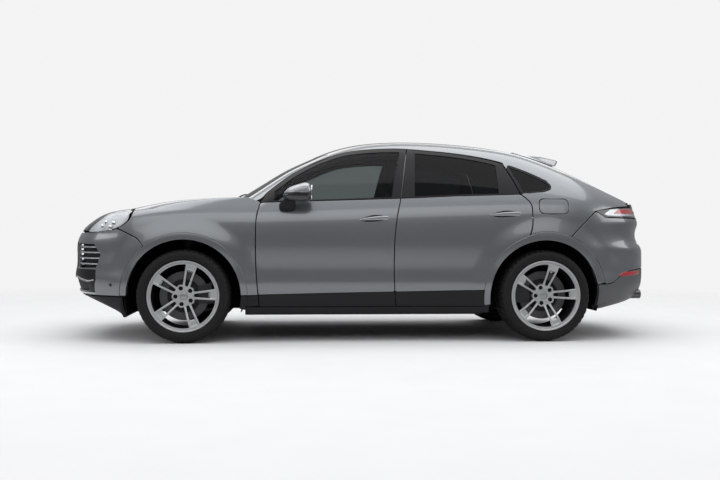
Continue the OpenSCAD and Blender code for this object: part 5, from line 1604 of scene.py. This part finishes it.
def door_mirror():
    bodies = ("door_front_left", "door_front_right")
    upper = closed_curve([[694, 1186], [672, 1212], [612, 1244], [560, 1260], [522, 1267], [492, 1256],
                          [478, 1228], [474, 1198], [490, 1189], [590, 1185]], 60)
    lower = closed_curve([[696, 1180], [706, 1162], [690, 1137], [640, 1121], [590, 1116], [524, 1117],
                          [492, 1126], [480, 1150], [474, 1184], [492, 1187], [590, 1182]], 60)
    middle = np.array([575.0, 1188.0])
    stations = [(930, 0.72), (936, 0.86), (948, 0.95), (970, 1.0), (1010, 1.0), (1045, 0.97), (1066, 0.9),
                (1080, 0.79), (1089, 0.64), (1093, 0.46), (1094.5, 0.22)]

    def loft(section):
        rows = []
        for y, s in stations:
            p = middle + (section - middle) * s - [22 * (1 - s), 0]
            rows.append(np.stack([p[:, 0], np.full(len(p), float(y)), p[:, 1]], 1))
        return closed_skin(rows)
    caps = pair("mirror_cap", loft(upper), MIRROR_CAP, bodies, crease=50)
    for k, s in enumerate(("left", "right")):
        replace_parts(caps[k], "mirror_" + s)
    pair("mirror_base", loft(lower), GLOSS, bodies, crease=50)
    square_cos, square_sin = squarish(40, 0.75)
    foot = []
    for y, x, z, rx, rz in ((928, 667, 1083, 66, 41), (952, 666, 1086, 64, 38), (968, 662, 1096, 58, 33),
                            (984, 655, 1112, 52, 26), (1004, 646, 1130, 46, 18)):
        foot.append(np.stack([x + rx * square_cos, np.full(40, float(y)), z + rz * square_sin], 1))
    pair("mirror_foot", closed_skin(foot), BLACK, bodies, crease=50)

    def facing_back(uv):
        return np.stack([470 + 0.0012 * (uv[:, 0] - 1000) ** 2, uv[:, 0], uv[:, 1]], 1)
    loop = closed_curve([[944, 1140], [938, 1190], [950, 1240], [1000, 1250], [1048, 1238], [1060, 1195],
                         [1048, 1142], [1000, 1132]], 60)
    pair("mirror_glass", panel(facing_back, [loop], 12, 2, 6, front=-1.0), CHROME_AND_HIGHLIGHT, bodies)


door_mirror()


# Black chin under the nose
def chin():
    n, m = 90, 14
    rows = []
    for j in range(m + 1):
        line = []
        for a in np.linspace(-70, 70, n):
            p = nose_point(a, 358.0) - np.array([8, np.sign(a) * 8, 0])
            foot = np.array([min(1962.0, p[0] - 30), p[1] * 0.94, 196.0])
            t = j / m
            bulge = np.array([26 * math.sin(math.pi * t), 0, 0]) * math.cos(math.radians(a))
            line.append(foot + (p - foot) * t + bulge)
        rows.append(np.array(line))
    inner = [r + np.array([-14, 0, 12.0]) for r in rows]
    loops = [np.concatenate([r, i[::-1]]) for r, i in zip(rows, inner)]
    skin = make("chin_skin", closed_skin(loops), BLACK, "body", crease=40)
    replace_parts(skin, "front_chin")
    plate = np.array([[1560, -375], [1985, -375], [1985, 375], [1560, 375]], float)
    plate = dense(fillet(plate, 30), 40)
    floor_plate = closed_skin([np.insert(plate, 2, z, axis=1) for z in (205.0, 217.0)])
    sharp(make("chin_plate", floor_plate, BLACK, "body"), 3, 2)


chin()


# Cabin: padded seats
def pillow(half, power=6.0, n=16, seams=()):
    """A rounded block with a soft crown; seams are grooves across its top at shares of its width."""
    t = np.linspace(-1, 1, n + 1)
    verts, faces = [], []
    for axis in range(3):
        for sign in (-1.0, 1.0):
            base = len(verts)
            for u in t:
                for v in t:
                    p = np.insert(np.array([u, v]), axis, sign)
                    p = p / (np.abs(p) ** power).sum() ** (1 / power)
                    crown = 1 + 0.05 * (1 - p[0] ** 2) * (1 - p[1] ** 2)
                    q = p * np.asarray(half) * crown
                    for s in seams:
                        q = q - 7 * np.exp(-((p[1] - s) / 0.045) ** 2) * np.array([0, 0, max(p[2], 0.0)])
                    verts.append(q)
            for i in range(n):
                for j in range(n):
                    k = base + i * (n + 1) + j
                    faces.append((k, k + 1, k + n + 2, k + n + 1))
    return np.array(verts), faces, None


def placed(mesh_data, at, pitch=0.0, yaw=0.0):
    """Turned about Y by pitch (front up) and Z by yaw, then moved."""
    v, f, n = mesh_data
    a, b = math.radians(pitch), math.radians(yaw)
    turn_y = np.array([[math.cos(a), 0, -math.sin(a)], [0, 1, 0], [math.sin(a), 0, math.cos(a)]])
    turn_z = np.array([[math.cos(b), -math.sin(b), 0], [math.sin(b), math.cos(b), 0], [0, 0, 1]])
    return np.asarray(v) @ (turn_z @ turn_y).T + np.asarray(at, float), f, n


def padded_piece(name, parts):
    obj = make(name, joined(*parts), LEATHER, "body", crease=60)
    return obj


def prism(loop, y0, y1):
    """A block from an outline in side view (x, z) between two places across the car."""
    p = np.asarray(loop, float)
    return closed_skin([np.insert(p, 1, y, axis=1) for y in (float(y0), float(y1))])


def seats():
    first = None
    for side_name, y in (("left", 370), ("right", -370)):
        parts = [placed(pillow((245, 165, 62), 6, 20, (-0.5, 0.0, 0.5)), (165, y, 508), 6)]
        for s in (-1, 1):
            parts.append(placed(pillow((240, 46, 72), 4), (165, y + s * 190, 520), 6))
            parts.append(placed(pillow((58, 42, 260), 4), (-212, y + s * 195, 800), -15))
        parts.append(placed(pillow((52, 165, 290), 6, 20), (-226, y, 795), -15))
        parts.append(placed(pillow((40, 125, 82), 4), (-300, y, 1160), -12))
        seat = padded_piece("front_seat_" + side_name, parts)
        first = first or seat
        base = fillet(np.array([[-110, 302], [380, 302], [410, 430], [405, 452], [-120, 420], [-140, 380]],
                               float), 25)
        sharp(make("seat_base_" + side_name, prism(base, y - 215, y + 215), TRIM, "body"), 8, 3)
        v, f, _ = lathe([[0, -60], [7, -60], [7, 60], [0, 60]], 20, (0, 0, 0))
        stalks = [placed((v[:, [0, 2, 1]], f, None), (-290, y + s, 1080), -12) for s in (-55, 55)]
        make("headrest_posts_" + side_name, joined(*stalks), SHADED_STEEL, "body", crease=40)
    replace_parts(first, "seats")
    parts = []
    for y in (-385, 0, 385):
        wide = 195 if y else 175
        parts.append(placed(pillow((225, wide, 62), 6, 20, (-0.35, 0.35)), (-680, y, 500), 5))
        parts.append(placed(pillow((58, wide, 285), 6, 20, ()), (-1030, y, 790), -16))
        parts.append(placed(pillow((38, 115, 68), 4), (-1105, y, 1098), -12))
    padded_piece("rear_bench", parts)
    base = fillet(np.array([[-470, 302], [-450, 430], [-900, 430], [-880, 302]], float), 20)
    sharp(make("bench_base", prism(base, -580, 580), TRIM, "body"), 8, 3)


seats()


# Dashboard, console and steering wheel
def dashboard():
    ys = np.linspace(-678, 678, 49)
    rows = []
    for y in ys:
        hood = 34 * (1 - ease(150, 230, abs(y - 370)))
        end = 26 * ease(520, 680, abs(y))
        p = path([[1028, 1070], [960, 1092], [860, 1096 + hood * 0.5], [760, 1068 + hood],
                  [690, 1040 + hood], [668 + end, 1000], [690 + end, 930], [720 + end, 860],
                  [706 + end, 790], [760 + end, 730], [880, 700]], 60)
        p = np.concatenate([p, [[976, 900], [976, 1066]]])
        rows.append(np.insert(p, 1, y, axis=1))
    body = make("dash_skin", closed_skin(rows), TRIM, "body", crease=40)
    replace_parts(body, "dashboard")
    screen = fillet(np.array([[-160, 905], [160, 905], [160, 1015], [-160, 1015]], float), 14)

    def tilted(x0):
        return lambda uv: np.stack([x0 + 0.12 * (uv[:, 1] - 960), uv[:, 0], uv[:, 1]], 1)
    make("dash_screen", panel(tilted(655), [screen], 16, 3, 14, front=-1.0), GLOSS, "body")
    dial = fillet(np.array([[215, 950], [525, 950], [525, 1062], [215, 1062]], float), 30)
    make("dash_dials", panel(tilted(648), [dial], 16, 3, 20, front=-1.0), GLOSS, "body")
    for k, y in enumerate((-600, -250, 600)):
        fins = []
        for z in range(930, 1001, 14):
            fins.append(prism(np.array([[655, z - 2], [690, z - 2], [690, z + 2], [655, z + 2]]), y - 52,
                              y + 52))
        make("vent_%d" % k, joined(*fins), BLACK, "body", crease=30)
    console = fillet(np.array([[720, 302], [720, 740], [600, 745], [480, 690], [300, 660], [120, 700],
                               [-190, 700], [-200, 302]], float), 30)
    sharp(make("console", prism(console, -118, 118), TRIM, "body"), 12, 4)
    padded_piece("armrest", [placed(pillow((150, 95, 24), 6), (-40, 0, 712))])
    lever = placed(pillow((20, 26, 40), 4), (380, 0, 690), 10)
    make("gear_lever", lever, GLOSS, "body", crease=60)


dashboard()


def steering_wheel():
    tilt = math.radians(68)
    turn = np.array([[math.cos(tilt), 0, -math.sin(tilt)], [0, 1, 0], [math.sin(tilt), 0, math.cos(tilt)]])

    def world(v):
        return np.asarray(v, float) @ turn.T + np.array([560.0, 370.0, 960.0])
    a = np.linspace(0, 2 * np.pi, 96, False)
    rows = []
    for t in np.linspace(0, 2 * np.pi, 17):
        r = 175 + 15 * np.cos(t)
        rows.append(world(np.stack([r * np.cos(a), r * np.sin(a), np.full(96, 15 * np.sin(t))], 1)))
    rim = sheet_grid(rows, closed=True)
    hub = pillow((62, 74, 20), 3.5)
    parts = [rim, (world(hub[0] - [0, 0, 4.0]), hub[1], None)]
    for d in (90, 180, 270):
        arm = pillow((66, 17, 8), 5, 8)
        c, s = math.cos(math.radians(d)), math.sin(math.radians(d))
        v = (arm[0] + [105, 0, -2.0]) @ np.array([[c, s, 0], [-s, c, 0], [0, 0, 1]])
        parts.append((world(v), arm[1], None))
    column = lathe([[0, -70], [26, -70], [30, -20], [30, 0]], 32, (0, 0, 0))
    parts.append((world(np.asarray(column[0])[:, [0, 2, 1]]), column[1], None))
    obj = make("steering_rim", joined(*parts), LEATHER, "steering_wheel", crease=50)
    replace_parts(obj, "steering_wheel")


steering_wheel()


# Wipers at the foot of the windscreen
def wipers():
    for k, (pivot, tip) in enumerate((((1118, 500), (1028, -60)), ((1148, -80), (1006, -600)))):
        ends = polyline([pivot, tip], 40)
        lift = 6 + 10 * np.sin(np.pi * np.linspace(0, 1, 41)) ** 0.5
        rows = []
        for (x, y), h in zip(ends, lift):
            z = float(top_z(x, y)) + h
            wide = 9 - 5 * abs(y - pivot[1]) / abs(tip[1] - pivot[1])
            rows.append(np.array([[x - wide, y, z - 4], [x + wide, y, z - 4], [x + wide * 0.6, y, z + 5],
                                  [x - wide * 0.6, y, z + 5]]))
        make("wiper_%d" % k, closed_skin(rows), BLACK, "body", crease=40)


wipers()


# Materials on the plain pieces that stay as they are
def dress(node, mat, width):
    obj = frame["nodes"][node]
    obj.data.materials.clear()
    obj.data.materials.append(mat)
    rounded(obj, width, 2, 30)


for node_name, node_mat, node_edge in (("underbody", BLACK, 4.0), ("wheel_liners", LINER_AND_SHADE_BLACK, 2.0),
                                       ("cowl", BLACK, 3.0), ("front_suspension", IRON, 3.0),
                                       ("rear_suspension", IRON, 3.0), ("knuckle_left", IRON, 3.0),
                                       ("knuckle_right", IRON, 3.0), ("engine_block", IRON, 12.0)):
    dress(node_name, node_mat, node_edge)


# Studio
def studio():
    scene = bpy.context.scene
    bpy.ops.mesh.primitive_circle_add(vertices=96, radius=60, fill_type="NGON")
    floor = bpy.context.object
    floor.name = "floor"
    mat = material("studio floor", (0.62, 0.62, 0.62), 0.8, grain=3, vary=0.015)
    # the far floor fades into the backdrop
    t = mat.node_tree
    coord = add_node(t, "TexCoord")
    far = add_node(t, "VectorMath")
    far.operation = "LENGTH"
    fade = add_node(t, "MapRange", From_Min=3, From_Max=8)
    clear = add_node(t, "BsdfTransparent")
    blend = add_node(t, "MixShader")
    t.links.new(coord.outputs["Object"], far.inputs[0])
    t.links.new(far.outputs["Value"], fade.inputs["Value"])
    t.links.new(fade.outputs["Result"], blend.inputs["Fac"])
    t.links.new(t.nodes["Principled BSDF"].outputs["BSDF"], blend.inputs[1])
    t.links.new(clear.outputs["BSDF"], blend.inputs[2])
    t.links.new(blend.outputs["Shader"], t.nodes["Material Output"].inputs["Surface"])
    floor.data.materials.append(mat)
    world = bpy.data.worlds.new("studio")
    scene.world = world
    world.use_nodes = True
    t = world.node_tree
    back = t.nodes["Background"]
    back.inputs["Strength"].default_value = 0.8
    # soft sky: pale above, darker towards the horizon
    coord = add_node(t, "TexCoord")
    split = add_node(t, "SeparateXYZ")
    height = add_node(t, "MapRange", From_Min=-0.1)
    ramp = add_node(t, "ValToRGB")
    stops = ramp.color_ramp.elements
    stops[0].color = (0.30, 0.31, 0.32, 1)
    stops[1].color = (1.0, 1.02, 1.05, 1)
    for place, level in ((0.2, 0.30), (0.4, 0.45), (0.65, 0.85)):
        stops.new(place).color = (level, level * 1.02, level * 1.05, 1)
    t.links.new(coord.outputs["Generated"], split.inputs["Vector"])
    t.links.new(split.outputs["Z"], height.inputs["Value"])
    t.links.new(height.outputs["Result"], ramp.inputs["Fac"])
    t.links.new(ramp.outputs["Color"], back.inputs["Color"])
    seen = add_node(t, "Background", Color=(0.9, 0.9, 0.9, 1))
    rays = add_node(t, "LightPath")
    mix = add_node(t, "MixShader")
    t.links.new(rays.outputs["Is Camera Ray"], mix.inputs["Fac"])
    t.links.new(back.outputs["Background"], mix.inputs[1])
    t.links.new(seen.outputs["Background"], mix.inputs[2])
    t.links.new(mix.outputs["Shader"], t.nodes["World Output"].inputs["Surface"])

    def lamp(name, place, aim, size, power):
        data = bpy.data.lights.new(name, "AREA")
        data.shape = "RECTANGLE"
        data.size, data.size_y = size
        data.energy = power
        obj = bpy.data.objects.new(name, data)
        scene.collection.objects.link(obj)
        obj.location = place
        obj.rotation_euler = (Vector(aim) - Vector(place)).to_track_quat("-Z", "Y").to_euler()

    lamp("overhead", (0, 0.5, 8), (0, 0, 0), (14, 9), 800)
    lamp("left side", (1.0, 11, 7), (0, 0, 0.6), (14, 5), 250)
    lamp("right side", (-1, -11, 7), (0, 0, 0.6), (14, 5), 250)
    lamp("front", (13, 4, 5.5), (0, 0, 0.6), (10, 5), 330)
    lamp("rear", (-13, 4, 5.5), (0, 0, 0.6), (10, 5), 330)
    scene.view_settings.view_transform = "Standard"


studio()
